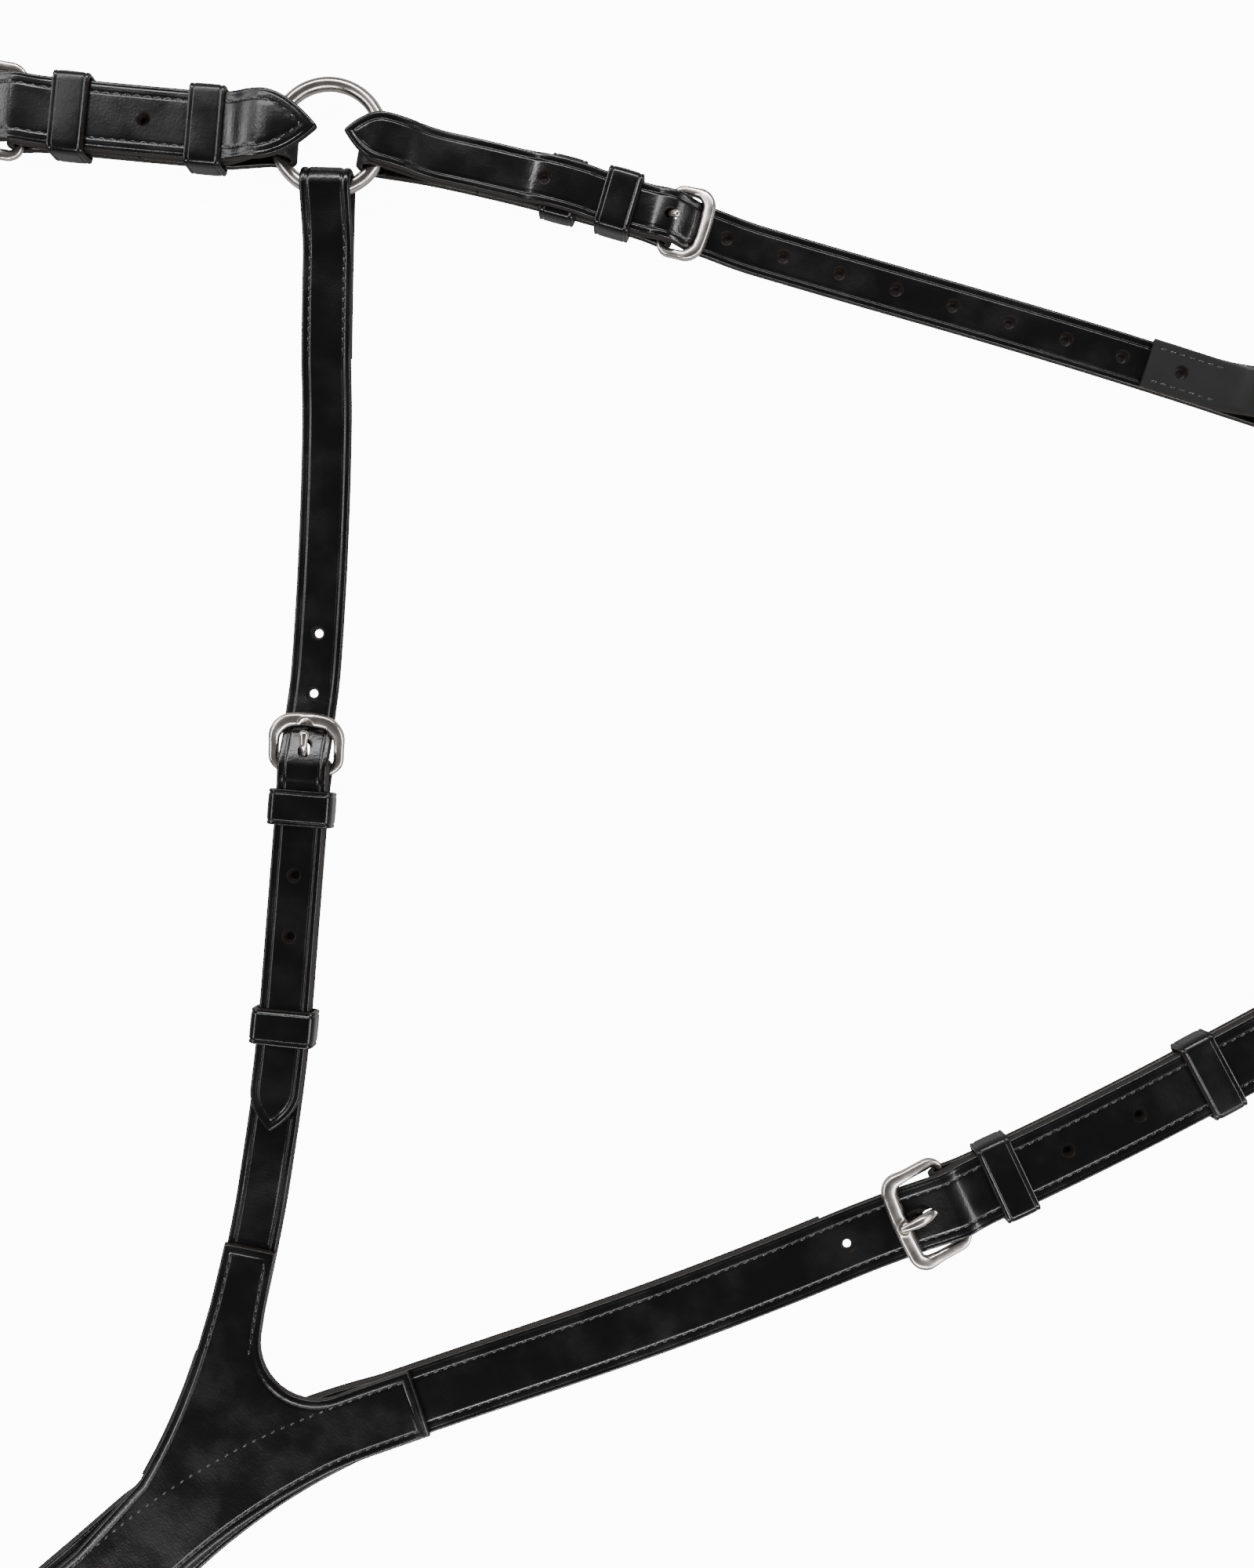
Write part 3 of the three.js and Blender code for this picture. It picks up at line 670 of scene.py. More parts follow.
def sum_of(tree, operation, first, second):
    node = tree.nodes.new("ShaderNodeMath")
    node.operation = operation
    for socket, value in zip(node.inputs, (first, second)):
        if isinstance(value, (int, float)):
            socket.default_value = value
        else:
            tree.links.new(value, socket)
    return node.outputs[0]


def stretched(tree, lo, hi, value):
    node = tree.nodes.new("ShaderNodeMapRange")
    node.interpolation_type = "SMOOTHSTEP"
    node.inputs["From Min"].default_value = lo
    node.inputs["From Max"].default_value = hi
    tree.links.new(value, node.inputs["Value"])
    return node.outputs["Result"]


def noise_of(tree, vector, scale, detail=2.0):
    node = tree.nodes.new("ShaderNodeTexNoise")
    node.inputs["Detail"].default_value = detail
    node.inputs["Scale"].default_value = scale
    tree.links.new(vector, node.inputs["Vector"])
    return node.outputs["Fac"]


def grain_group():
    """Leather grain: pores and pebbles all over, fine creases across the strap, cloudy polish."""
    found = bpy.data.node_groups.get("Leather Grain")
    if found:
        return found
    group, start, end = node_group(
        "Leather Grain",
        [("Place", "NodeSocketVector", None), ("Run", "NodeSocketVector", None),
         ("Pore Scale", "NodeSocketFloat", 1500.0)],
        [("Height", "NodeSocketFloat"), ("Polish", "NodeSocketFloat")],
    )
    place, run = start.outputs["Place"], start.outputs["Run"]
    pores = group.nodes.new("ShaderNodeTexVoronoi")
    pores.feature = "SMOOTH_F1"
    group.links.new(place, pores.inputs["Vector"])
    group.links.new(start.outputs["Pore Scale"], pores.inputs["Scale"])
    across = group.nodes.new("ShaderNodeMapping")
    across.inputs["Scale"].default_value = (1.0, 0.22, 1.0)
    group.links.new(run, across.inputs["Vector"])
    creases = noise_of(group, across.outputs["Vector"], 1500.0, 3.0)
    fine = sum_of(group, "MULTIPLY", pores.outputs["Distance"], 0.55)
    height = sum_of(group, "ADD", fine, sum_of(group, "MULTIPLY", creases, 0.8))
    clouds = noise_of(group, place, 70.0, 3.0)
    group.links.new(height, end.inputs["Height"])
    group.links.new(stretched(group, 0.35, 0.7, clouds), end.inputs["Polish"])
    return group


def rub_group():
    """Wear by the distance from a strap's rim, broken up so that it isn't an even band."""
    found = bpy.data.node_groups.get("Rim Rub")
    if found:
        return found
    group, start, end = node_group(
        "Rim Rub",
        [("Place", "NodeSocketVector", None), ("Rim", "NodeSocketVector", None),
         ("Reach", "NodeSocketFloat", 1.0)],
        [("Rubbed", "NodeSocketFloat")],
    )
    split = group.nodes.new("ShaderNodeSeparateXYZ")
    group.links.new(start.outputs["Rim"], split.inputs[0])
    share = sum_of(group, "DIVIDE", split.outputs["X"], start.outputs["Reach"])
    broken = noise_of(group, start.outputs["Place"], 320.0, 3.0)
    uneven = sum_of(group, "MULTIPLY", sum_of(group, "SUBTRACT", broken, 0.5), 0.9)
    moved = sum_of(group, "ADD", share, uneven)
    node = group.nodes.new("ShaderNodeMapRange")
    node.inputs["From Min"].default_value = 1.0
    node.inputs["From Max"].default_value = 0.1
    group.links.new(moved, node.inputs["Value"])
    group.links.new(node.outputs["Result"], end.inputs["Rubbed"])
    return group


def placed(tree, group, links, values=()):
    node = tree.nodes.new("ShaderNodeGroup")
    node.node_tree = group
    for label, source in links:
        tree.links.new(source, node.inputs[label])
    for label, value in values:
        node.inputs[label].default_value = value
    return node


def mixed(tree, factor, first, second):
    node = tree.nodes.new("ShaderNodeMix")
    node.data_type = "RGBA"
    tree.links.new(factor, node.inputs["Factor"])
    for socket, value in ((node.inputs["A"], first), (node.inputs["B"], second)):
        if isinstance(value, tuple):
            socket.default_value = value
        else:
            tree.links.new(value, socket)
    return node.outputs["Result"]


def new_material(name):
    material = bpy.data.materials.new(name)
    material.use_nodes = True
    tree = material.node_tree
    return material, tree, tree.nodes["Principled BSDF"]


def uv_of(tree, name):
    node = tree.nodes.new("ShaderNodeUVMap")
    node.uv_map = name
    return node.outputs["UV"]


def second_of(tree, name):
    """The second number of a UV layer: 1 on a strap's cut edge, and 1 on each near-black disc of painted shade
    at a needle's hole.
    """
    split = tree.nodes.new("ShaderNodeSeparateXYZ")
    tree.links.new(uv_of(tree, name), split.inputs[0])
    return split.outputs["Y"]


def leather_material(name="Bridle Leather", shine=0.17, pores=1500.0, depth=0.34):
    """Waxed black strap leather, lighter and browner where the rim is rubbed."""
    found = bpy.data.materials.get(name)
    if found:
        return found
    material, tree, shader = new_material(name)
    place = tree.nodes.new("ShaderNodeTexCoord").outputs["Object"]
    grain = placed(tree, grain_group(), [("Place", place), ("Run", uv_of(tree, "strap_run"))],
                   [("Pore Scale", pores)])
    rub = placed(tree, rub_group(), [("Place", place), ("Rim", uv_of(tree, "edge_wear"))],
                 [("Reach", 0.5)])
    cloudy = mixed(tree, grain.outputs["Polish"], colour("leather"), colour("leather_worn"))
    rubbed = mixed(tree, rub.outputs["Rubbed"], cloudy, colour("leather_rim"))
    tree.links.new(rubbed, shader.inputs["Base Color"])
    uneven = sum_of(tree, "MULTIPLY", grain.outputs["Polish"], 0.12)
    dry = sum_of(tree, "MULTIPLY", rub.outputs["Rubbed"], 0.08)
    cut = sum_of(tree, "MULTIPLY", second_of(tree, "edge_wear"), 0.55)
    rough = sum_of(tree, "ADD", sum_of(tree, "ADD", uneven, dry), sum_of(tree, "ADD", cut, shine))
    tree.links.new(rough, shader.inputs["Roughness"])
    shader.inputs["Specular IOR Level"].default_value = 0.3
    shader.inputs["Coat Weight"].default_value = 0.12
    shader.inputs["Coat Roughness"].default_value = 0.2
    bump = tree.nodes.new("ShaderNodeBump")
    bump.inputs["Strength"].default_value = depth
    bump.inputs["Distance"].default_value = 0.12 * MM
    tree.links.new(grain.outputs["Height"], bump.inputs["Height"])
    tree.links.new(bump.outputs["Normal"], shader.inputs["Normal"])
    return material


def thread_material():
    """Waxed black linen thread, twisted, with a painted highlight on its raised strands and painted shade on
    the discs at its needle holes.
    """
    found = bpy.data.materials.get("Waxed Thread")
    if found:
        return found
    material, tree, shader = new_material("Waxed Thread")
    place = tree.nodes.new("ShaderNodeTexCoord").outputs["Object"]
    twist = noise_of(tree, place, 2600.0, 2.0)
    hole = second_of(tree, "edge_wear")
    # The raised strands of the twist are painted lighter: a painted highlight.
    twist_with_highlight = mixed(tree, twist, colour("thread"), colour("thread_strand_highlight"))
    # The discs at the needle holes are painted near black: painted shade.
    tree.links.new(mixed(tree, hole, twist_with_highlight, colour("needle_hole_shade")), shader.inputs["Base Color"])
    rough = sum_of(tree, "ADD", stretched(tree, 0.0, 2.2, twist), hole)
    tree.links.new(rough, shader.inputs["Roughness"])
    bump = tree.nodes.new("ShaderNodeBump")
    bump.inputs["Strength"].default_value = 0.5
    bump.inputs["Distance"].default_value = 0.1 * MM
    tree.links.new(twist, bump.inputs["Height"])
    tree.links.new(bump.outputs["Normal"], shader.inputs["Normal"])
    return material


def metal_material():
    """Nickel plate with a satin polish, faintly hazed and finely scratched."""
    found = bpy.data.materials.get("Satin Nickel")
    if found:
        return found
    material, tree, shader = new_material("Satin Nickel")
    place = tree.nodes.new("ShaderNodeTexCoord").outputs["Object"]
    haze = noise_of(tree, place, 180.0, 4.0)
    hazed = mixed(tree, haze, colour("metal"), colour("metal_dull"))
    tree.links.new(hazed, shader.inputs["Base Color"])
    shader.inputs["Metallic"].default_value = 1.0
    node = tree.nodes.new("ShaderNodeMapRange")
    node.inputs["From Min"].default_value = 0.3
    node.inputs["From Max"].default_value = 0.75
    node.inputs["To Min"].default_value = 0.17
    node.inputs["To Max"].default_value = 0.3
    tree.links.new(haze, node.inputs["Value"])
    tree.links.new(node.outputs["Result"], shader.inputs["Roughness"])
    streaks = tree.nodes.new("ShaderNodeMapping")
    streaks.inputs["Scale"].default_value = (1.0, 6.0, 1.0)
    tree.links.new(place, streaks.inputs["Vector"])
    bump = tree.nodes.new("ShaderNodeBump")
    bump.inputs["Strength"].default_value = 0.06
    bump.inputs["Distance"].default_value = 0.05 * MM
    tree.links.new(noise_of(tree, streaks.outputs["Vector"], 900.0, 3.0), bump.inputs["Height"])
    tree.links.new(bump.outputs["Normal"], shader.inputs["Normal"])
    return material


# ---------------------------------------------------------------- leather pieces
class Shop:
    """Everything that the operators share: layers, courses and the fold's widths."""

    def __init__(self):
        self.layers = Layers()
        self.routes = Routes(self.layers)
        wide, fold = size("wide_width"), size("fold_width")
        radius = size("ring_radius")
        self.folded = tapered([(radius + size("ring_wire"), fold), (radius + RING_RAMP, wide)])

    def strap(self, route, path, width, tips=(), finish=CREASED):
        return Strap(route, self.routes.ground, path, width, tips, finish)

    def ring_chape(self, route, at, width, fold):
        """A chape folded round a ring at one end and round a heel bar at the other."""
        layers = self.layers
        beside = size("ring_radius") + RING_RAMP
        path = [
            (at["joint"] - GAP, layers.chape_top),
            (beside, layers.chape_top),
            *reversed(round_ring(layers, fold)),
            (beside, layers.lifted),
            (at["heel"] - BAR_RAMP, layers.lifted),
            *half_turn(at["heel"], layers.bar, layers.bar_wrap, 1),
            (at["heel"] - BAR_RAMP, layers.chape_top),
            (at["joint"] + GAP, layers.chape_top),
        ]
        chape = self.strap(route, path, width)
        return carve(chape.mesh(), chape_slot(chape, at["heel"], 1))

    def hung_strap(self, route, at, span, width, fold, finish):
        """A billet folded round a ring, stitched back on itself and run out through a buckle."""
        layers = self.layers
        path = [
            (at["doubled"], layers.floor),
            *round_ring(layers, fold),
            (size("ring_radius") + RING_RAMP, layers.floor + layers.layer),
            (at["doubled"] + 1, layers.floor + layers.layer),
            (at["doubled"] + 16, layers.floor),
            *through_buckle(layers, at["heel"], -1, span),
            (at["tip"] - POINT_RUN, layers.billet_top),
            (at["tip"], layers.billet_top),
        ]
        point = WIDE_POINT if span == WIDE_SPAN else NARROW_POINT
        return self.strap(route, path, width, [(at["tip"], -1, *point)], finish)

    def looped_chape(self, route, at):
        """A chape folded on its heel bar, whose other end makes a flat loop for a girth."""
        layers, heel, loop = self.layers, at["heel"], at["loop"]
        meet = loop - GIRTH_LOOP - LOOP_LEAD
        path = [
            (meet - GAP, layers.chape_top),
            (heel + BAR_RAMP, layers.chape_top),
            *reversed(half_turn(heel, layers.bar, layers.bar_wrap, -1)),
            (heel + BAR_RAMP, layers.lifted),
            (meet, layers.lifted),
            (meet + LOOP_RAMP, layers.floor),
            (loop, layers.floor),
            *half_turn(loop, layers.floor + LOOP_RISE, LOOP_RISE, 1)[1:],
            (loop - GIRTH_LOOP, layers.floor + 2 * LOOP_RISE),
            (meet + LOOP_LAP, layers.chape_top),
            (meet + GAP, layers.chape_top),
        ]
        chape = self.strap(route, path, size("wide_width"), finish=STITCHED)
        return chape, carve(chape.mesh(), chape_slot(chape, heel, -1))


def make_wither(shop):
    layers, route = shop.layers, shop.routes.wither
    leather = leather_material()
    both_sides("wither_chape", shop.ring_chape(route, WITHER, shop.folded, size("fold_width")), leather)
    beside = size("ring_radius")
    path = [
        (WITHER["tip"], layers.over_ring),
        (beside + BESIDE_RING, layers.over_ring),
        (beside + RING_RAMP + 1, layers.billet_top),
        *reversed(through_buckle(layers, WITHER["heel"], 1, WIDE_SPAN)),
        (shop.routes.middle, layers.floor),
    ]
    strap = shop.strap(route, path, size("wide_width"), [(WITHER["tip"], 1, *WIDE_POINT)], STITCHED)
    holes = [WITHER["hole"] + k * LONG_PITCH for k in range(3)]
    half = carve(strap.mesh(), strap_holes(strap, holes, WITHER["heel"] + TONGUE_HOLES["wither"]))
    trim_to_middle(half)
    finished("wither_strap_finished", half, leather, "harness", "wither_strap")
    line = rim_line(strap, shop.routes.middle - 1, WIDE_SEAM)
    thread_piece("wither_stitching", [(strap.lay, line, strap.top)])


def trim_to_middle(bm):
    """Cuts a half strap at the middle line and doubles it to the other side."""
    everything = [*bm.verts, *bm.edges, *bm.faces]
    bmesh.ops.bisect_plane(
        bm, geom=everything, plane_co=(0.1 * MM, 0, 0), plane_no=(-1, 0, 0), clear_outer=True
    )
    for vert in bm.verts:
        if vert.co.x < 0.101 * MM:
            vert.co.x = 0
    everything = [*bm.verts, *bm.edges, *bm.faces]
    bmesh.ops.mirror(bm, geom=everything, matrix=Matrix.Identity(4), merge_dist=WELD, axis="X")
    close(bm)


def make_saddle(shop):
    layers, route = shop.layers, shop.routes.saddle
    leather = leather_material()
    narrow = size("narrow_width")
    both_sides("saddle_chape", shop.ring_chape(route, SADDLE, narrow, narrow), leather,
               "saddle_strap")
    hidden = layers.chape_top + layers.thick / 2
    hump = hidden + GAP + layers.band + GAP + layers.thick / 2
    before = SADDLE["fixed"] - size("keeper_long") / 2 - HUMP_CLEAR
    after = SADDLE["fixed"] + size("keeper_long") / 2 + HUMP_CLEAR
    beside, loop = size("ring_radius"), SADDLE["loop"]
    path = [
        (SADDLE["tip"], layers.over_ring),
        (beside + BESIDE_RING, layers.over_ring),
        (beside + RING_RAMP + 1, layers.billet_top),
        (before - HUMP_RISE, layers.billet_top),
        (before, hump),
        (after, hump),
        (after + HUMP_FALL, layers.billet_top),
        *reversed(through_buckle(layers, SADDLE["heel"], 1, SHORT_SPAN)),
        (loop, layers.floor),
        *half_turn(loop, layers.floor + DEE_RISE, DEE_RISE, 1)[1:],
        (loop - DEE_LOOP, layers.floor + 2 * DEE_RISE),
        (loop - DEE_LOOP - DEE_RAMP, layers.floor + layers.layer),
        (loop - DEE_LOOP - DEE_LAP, layers.floor + layers.layer),
    ]
    strap = shop.strap(route, path, narrow, [(SADDLE["tip"], 1, *NARROW_POINT)])
    first = SADDLE["heel"] + FIRST_HOLES["saddle"]
    holes = [first - 2.2 * SADDLE_PITCH] + [first + k * SADDLE_PITCH for k in range(1, 10)]
    tongue = SADDLE["heel"] + TONGUE_HOLES["saddle"]
    body = carve(strap.mesh(), strap_holes(strap, holes, tongue, SADDLE_HOLE_DEEP))
    both_sides("saddle_strap", body, leather, "saddle_strap")
    seam = (loop - DEE_LOOP - DEE_LAP + 2, loop - DEE_LOOP - DEE_RAMP - 2)
    lines = edge_lines(strap, *seam, SADDLE_SEAM)
    thread_piece("saddle_stitching", [(strap.lay, line, strap.top) for line in lines], "saddle_strap")


def make_shoulder(shop):
    layers, route = shop.layers, shop.routes.shoulder
    leather = leather_material()
    narrow = size("narrow_width")
    heel, tip, end = SHOULDER["heel"], SHOULDER["tip"], SHOULDER["end"]
    strap = shop.hung_strap(route, SHOULDER, NARROW_SPAN, narrow, narrow, CREASED)
    first = heel - FIRST_HOLES["shoulder"]
    holes = [first + k * SHORT_PITCH for k in (-2, -1, 2, 3)]
    body = carve(strap.mesh(), strap_holes(strap, holes, heel - TONGUE_HOLES["shoulder"]))
    both_sides("shoulder_strap", body, leather)
    lines = edge_lines(strap, 27, SHOULDER["doubled"], SHOULDER_SEAM)
    thread_piece("shoulder_stitching", [(strap.lay, line, strap.top) for line in lines])
    path = [
        (end, layers.floor),
        (OVERLAY["arm"] - 12, layers.floor),
        (tip + 6, layers.lifted),
        (heel + BAR_RAMP, layers.lifted),
        *half_turn(heel, layers.bar, layers.bar_wrap, -1),
        (heel + BAR_RAMP, layers.chape_top),
        (tip + 6, layers.chape_top),
        (OVERLAY["arm"] - 12, layers.floor + layers.layer),
        (end, layers.floor + layers.layer),
    ]
    chape = shop.strap(route, path, narrow)
    both_sides("shoulder_chape", carve(chape.mesh(), chape_slot(chape, heel, -1)), leather)


def make_chest(shop):
    layers, route = shop.layers, shop.routes.chest
    leather = leather_material()
    wide, fold, full = size("wide_width"), size("fold_width"), size("chest_width")
    width = tapered([(size("ring_radius"), fold), (60, full), (150, full), (236, wide), (700, wide)])
    heel, tip, lining = GIRTH["heel"], GIRTH["tip"], GIRTH["lining"]
    path = [
        (CHEST_START, layers.floor),
        *round_ring(layers, fold),
        (size("ring_radius") + RING_RAMP, layers.floor + layers.layer),
        (lining, layers.floor + layers.layer),
        (lining + 9, layers.floor + layers.layer),
        *through_buckle(layers, heel, -1, WIDE_SPAN)[1:],
        (tip - POINT_RUN, layers.billet_top),
        (tip, layers.billet_top),
    ]
    strap = shop.strap(route, path, width, [(tip, -1, *WIDE_POINT)], STITCHED)
    first = heel - FIRST_HOLES["girth"]
    holes = [first - LONG_PITCH] + [first + k * LONG_PITCH for k in (2, 3, 4, 5)]
    body = carve(strap.mesh(), strap_holes(strap, holes, heel - TONGUE_HOLES["girth"]))
    both_sides("chest_strap", body, leather)
    under = [(CHEST_START + 2, layers.floor), (lining, layers.floor)]
    lining_leather = leather_material("Lining Leather", 0.42, 1100.0, 0.4)
    both_sides("chest_lining", shop.strap(route, under, width, finish=PLAIN).mesh(), lining_leather)
    line = rim_line(strap, OVERLAY["to"] + 3, WIDE_SEAM)
    thread_piece("girth_stitching", [(strap.lay, line, strap.top)])


def edge_of(route, width, side, s):
    """A point on a strap's edge."""
    x, y, heading = route(s)
    off = side * width(s) / 2
    return Vector((x - off * math.sin(heading), y + off * math.cos(heading)))


def make_overlay(shop):
    layers, routes = shop.layers, shop.routes
    wide, full = size("wide_width"), size("overlay_width")
    trunk = tapered([(OVERLAY["from"], wide), (62, full), (140, full), (215, wide), (260, wide)])
    arm_width = size("arm_width")
    arm = tapered([(OVERLAY["arm"], arm_width), (OVERLAY["arm"] + 20, arm_width + 1), (FORK_ON_SHOULDER, full)])
    lower = [edge_of(routes.chest, trunk, -1, s) for s in stops(OVERLAY["from"], OVERLAY["to"], 5)]
    upper = [edge_of(routes.chest, trunk, 1, s) for s in stops(OVERLAY["to"], FORK_ON_CHEST + 10, 3)]
    east = [edge_of(routes.shoulder, arm, 1, s) for s in stops(FORK_ON_SHOULDER - 8, OVERLAY["arm"], 3)]
    west = [edge_of(routes.shoulder, arm, -1, s) for s in stops(OVERLAY["arm"], FORK_ON_SHOULDER - 16, 5)]
    back = [edge_of(routes.chest, trunk, 1, s) for s in stops(FORK_ON_CHEST - 20, OVERLAY["from"], 5)]
    outline = clear_corners(lower + fillet(upper, east, size("crook_radius")) + west + back)
    under = layers.overlay - layers.thick / 2
    bm = joined([plate(outline, routes.ground + under, layers.thick), arm_backing(shop, arm)])
    both_sides("chest_overlay", bm, leather_material())
    rows = [sewn_line(routes.chest, trunk, side, OVERLAY["from"] + 3, OVERLAY["to"] - 2) for side in (1, -1)]
    rows += [sewn_line(routes.shoulder, arm, side, OVERLAY["arm"] + 3, OVERLAY["arm"] + 34) for side in (1, -1)]
    lay = flat_lay(routes.ground)
    thread_piece("overlay_stitching", [(lay, row, layers.overlay + layers.thick / 2) for row in rows])


def sewn_line(route, width, side, start, end):
    return [edge_of(route, lambda s: width(s) - 2 * OVERLAY_SEAM, side, s) for s in stops(start, end, 4)]


def arm_backing(shop, arm):
    """The layer under the overlay's shoulder arm, a little wider than it on its outer side."""
    layers, route = shop.layers, shop.routes.shoulder
    places = stops(SHOULDER["end"] + 1, FORK_ON_SHOULDER - 18, 5)
    west = [edge_of(route, lambda s: arm(s) + 1.2, -1, s) for s in places]
    east = [edge_of(route, lambda s: arm(s) - 1.0, 1, s) for s in reversed(places)]
    return plate(clear_corners(west + east), shop.routes.ground + layers.floor + 0.4, 2 * layers.thick - 0.2)


def flat_lay(ground):
    return lambda x, y, z: (x, y, z + ground)


def stops(start, end, step):
    runs = max(1, round(abs(end - start) / step))
    return [start + (end - start) * k / runs for k in range(runs + 1)]


def fillet(first, second, radius):
    """Two edges joined by an arc of a given radius that touches both, on their outer side."""
    best = None
    for i, a in enumerate(first[1:-1], 1):
        way = (first[i + 1] - first[i - 1]).normalized()
        centre = a + Vector((way.y, -way.x)) * radius
        for j, b in enumerate(second[1:-1], 1):
            run = (second[j + 1] - second[j - 1]).normalized()
            miss = (b + Vector((run.y, -run.x)) * radius - centre).length
            if best is None or miss < best[0]:
                best = (miss, i, j, centre)
    _, i, j, centre = best
    start, end = first[i] - centre, second[j] - centre
    turn = start.angle_signed(end)
    steps = 14
    arc = []
    for k in range(1, steps):
        share = k / steps
        spoke = start.copy()
        spoke.rotate(Matrix.Rotation(-turn * share, 2))
        arc.append(centre + spoke.normalized() * (start.length + (end.length - start.length) * share))
    return first[: i + 1] + arc + second[j:]


def clear_corners(outline):
    """The outline without the points beside its corners, so that lines inside it don't cross."""
    turns = []
    for k, point in enumerate(outline):
        before, after = point - outline[k - 1], outline[(k + 1) % len(outline)] - point
        turns.append(abs(before.angle(after)) > 1)
    corners = [p for p, turned in zip(outline, turns) if turned]
    clear = [min((p - c).length for c in corners) > CORNER_ROOM for p in outline]
    return [p for p, turned, far in zip(outline, turns, clear) if turned or far]


def plate(outline, bottom, thick):
    """A flat plate with a rounded rim and a sewing channel, from its outline."""
    bm = bmesh.new()
    verts = [bm.verts.new((p.x * MM, p.y * MM, bottom * MM)) for p in outline]
    base = bm.faces.new(verts)
    raised = bmesh.ops.extrude_face_region(bm, geom=[base])
    top = next(one for one in raised["geom"] if isinstance(one, bmesh.types.BMFace))
    bmesh.ops.translate(bm, verts=top.verts, vec=(0, 0, (thick - RIM_TALL) * MM))
    wear = {vert: 0.0 for vert in bm.verts}
    distance = 0.0
    for step, rise in PLATE_RIM:
        inset = bmesh.ops.inset_region(
            bm, faces=[top], thickness=step * MM, use_even_offset=True, use_boundary=True
        )
        for vert in (vert for one in inset["faces"] for vert in one.verts):
            wear.setdefault(vert, distance)
        bmesh.ops.translate(bm, verts=top.verts, vec=(0, 0, rise * MM))
        distance += step
        wear.update({vert: distance for vert in top.verts})
    run = bm.loops.layers.uv.new("strap_run")
    edge = bm.loops.layers.uv.new("edge_wear")
    cosine, sine = PLATE_GRAIN
    for one in bm.faces:
        for loop in one.loops:
            spot = loop.vert.co
            loop[run].uv = (cosine * spot.x + sine * spot.y, cosine * spot.y - sine * spot.x)
            loop[edge].uv = (wear[loop.vert], 0.0)
    bmesh.ops.recalc_face_normals(bm, faces=bm.faces)
    return bm


def make_girth(shop):
    chape, bm = shop.looped_chape(shop.routes.chest, GIRTH)
    both_sides("girth_chape", bm, leather_material())
    lines = loop_seams(chape, GIRTH)
    thread_piece("girth_chape_stitching", [(chape.lay, line, chape.top) for line in lines])


def make_legs(shop):
    leather = leather_material()
    route, heel = shop.routes.legs, LEGS["heel"]
    strap = shop.hung_strap(route, LEGS, WIDE_SPAN, shop.folded, size("fold_width"), STITCHED)
    first = heel - FIRST_HOLES["legs"]
    holes = [first + k * LONG_PITCH for k in (-2, -1, 2, 3)]
    body = carve(strap.mesh(), strap_holes(strap, holes, heel - TONGUE_HOLES["legs"]))
    finished("legs_strap_finished", body, leather, "legs_strap", "legs_strap")
    chape, bm = shop.looped_chape(route, LEGS)
    finished("legs_chape_finished", bm, leather, "legs_strap", "legs_chape")
    threads = bmesh.new()
    sew(threads, strap.lay, rim_line(strap, 38, WIDE_SEAM), strap.top)
    for line in loop_seams(chape, LEGS):
        sew(threads, chape.lay, line, chape.top)
    finished("legs_stitching_finished", threads, thread_material(), "legs_strap")


# ---------------------------------------------------------------- keepers
def rounded_box(x0, x1, half, corner, steps=7):
    """A closed line round a box with rounded corners, anticlockwise."""
    centres = [(x1 - corner, -half + corner, -90), (x1 - corner, half - corner, 0),
               (x0 + corner, half - corner, 90), (x0 + corner, -half + corner, 180)]
    line = []
    for x, y, start in centres:
        for k in range(steps + 1):
            angle = math.radians(start + 90 * k / steps)
            line.append(Vector((x + corner * math.cos(angle), y + corner * math.sin(angle))))
    return dense([*line, line[0]], 1.2)


def dense(line, step):
    out = [line[0]]
    for a, b in zip(line, line[1:]):
        count = max(1, math.ceil((b - a).length / step))
        out += [a + (b - a) * (k / count) for k in range(1, count + 1)]
    return out


def outward(line):
    """Unit vectors that point out of a closed anticlockwise line."""
    ways = []
    last = len(line) - 1
    for k in range(len(line)):
        before, after = line[k - 1 if k else last - 1], line[k + 1 if k < last else 1]
        way = (after - before).normalized()
        ways.append(Vector((way.y, -way.x)))
    return ways


def keeper_section():
    """Round a keeper's cross-section: (along, outward), with a crease inside each long edge."""
    half, band = size("keeper_long") / 2, size("keeper_thick") / 2
    crease, crease_half, crease_deep = KEEPER_CREASE
    outer = []
    for along in stops(-half, half, 0.24):
        edge = half - abs(along)
        lift = band + KEEPER_CROWN * (1 - (along / half) ** 2)
        if edge < KEEPER_ROUND:
            lift -= KEEPER_ROUND - math.sqrt(KEEPER_ROUND**2 - (KEEPER_ROUND - edge) ** 2)
        share = (edge - crease) / crease_half
        if abs(share) < 1:
            lift -= crease_deep * (1 - share**2) ** 2
        outer.append((along, lift, edge))
    cut = KEEPER_INNER
    inner = [(half, -band + cut, 0.0), (half - cut, -band, 0.0)]
    inner += [(-half + cut, -band, 0.0), (-half, -band + cut, 0.0)]
    return [*outer, *inner, outer[0]]


def keeper(route, ground, s, strap_width, cover):
    """A leather loop round a strap, standing on the ground and clearing the layers inside it."""
    band = size("keeper_thick")
    half = strap_width / 2 + SIDE_CLEAR + band / 2
    line = rounded_box(band / 2, cover + GAP + band / 2, half, KEEPER_CORNER)
    ways = outward(line)
    section = keeper_section()

    def place(i, j):
        along, out, edge = section[j]
        spot = line[i] + ways[i] * out
        x, y, heading = route(s + along)
        point = (x - spot.y * math.sin(heading), y + spot.y * math.cos(heading), spot.x + ground)
        return point, along, spot.y + spot.x, max(edge, 0.0)

    return weave(len(line), len(section), place)


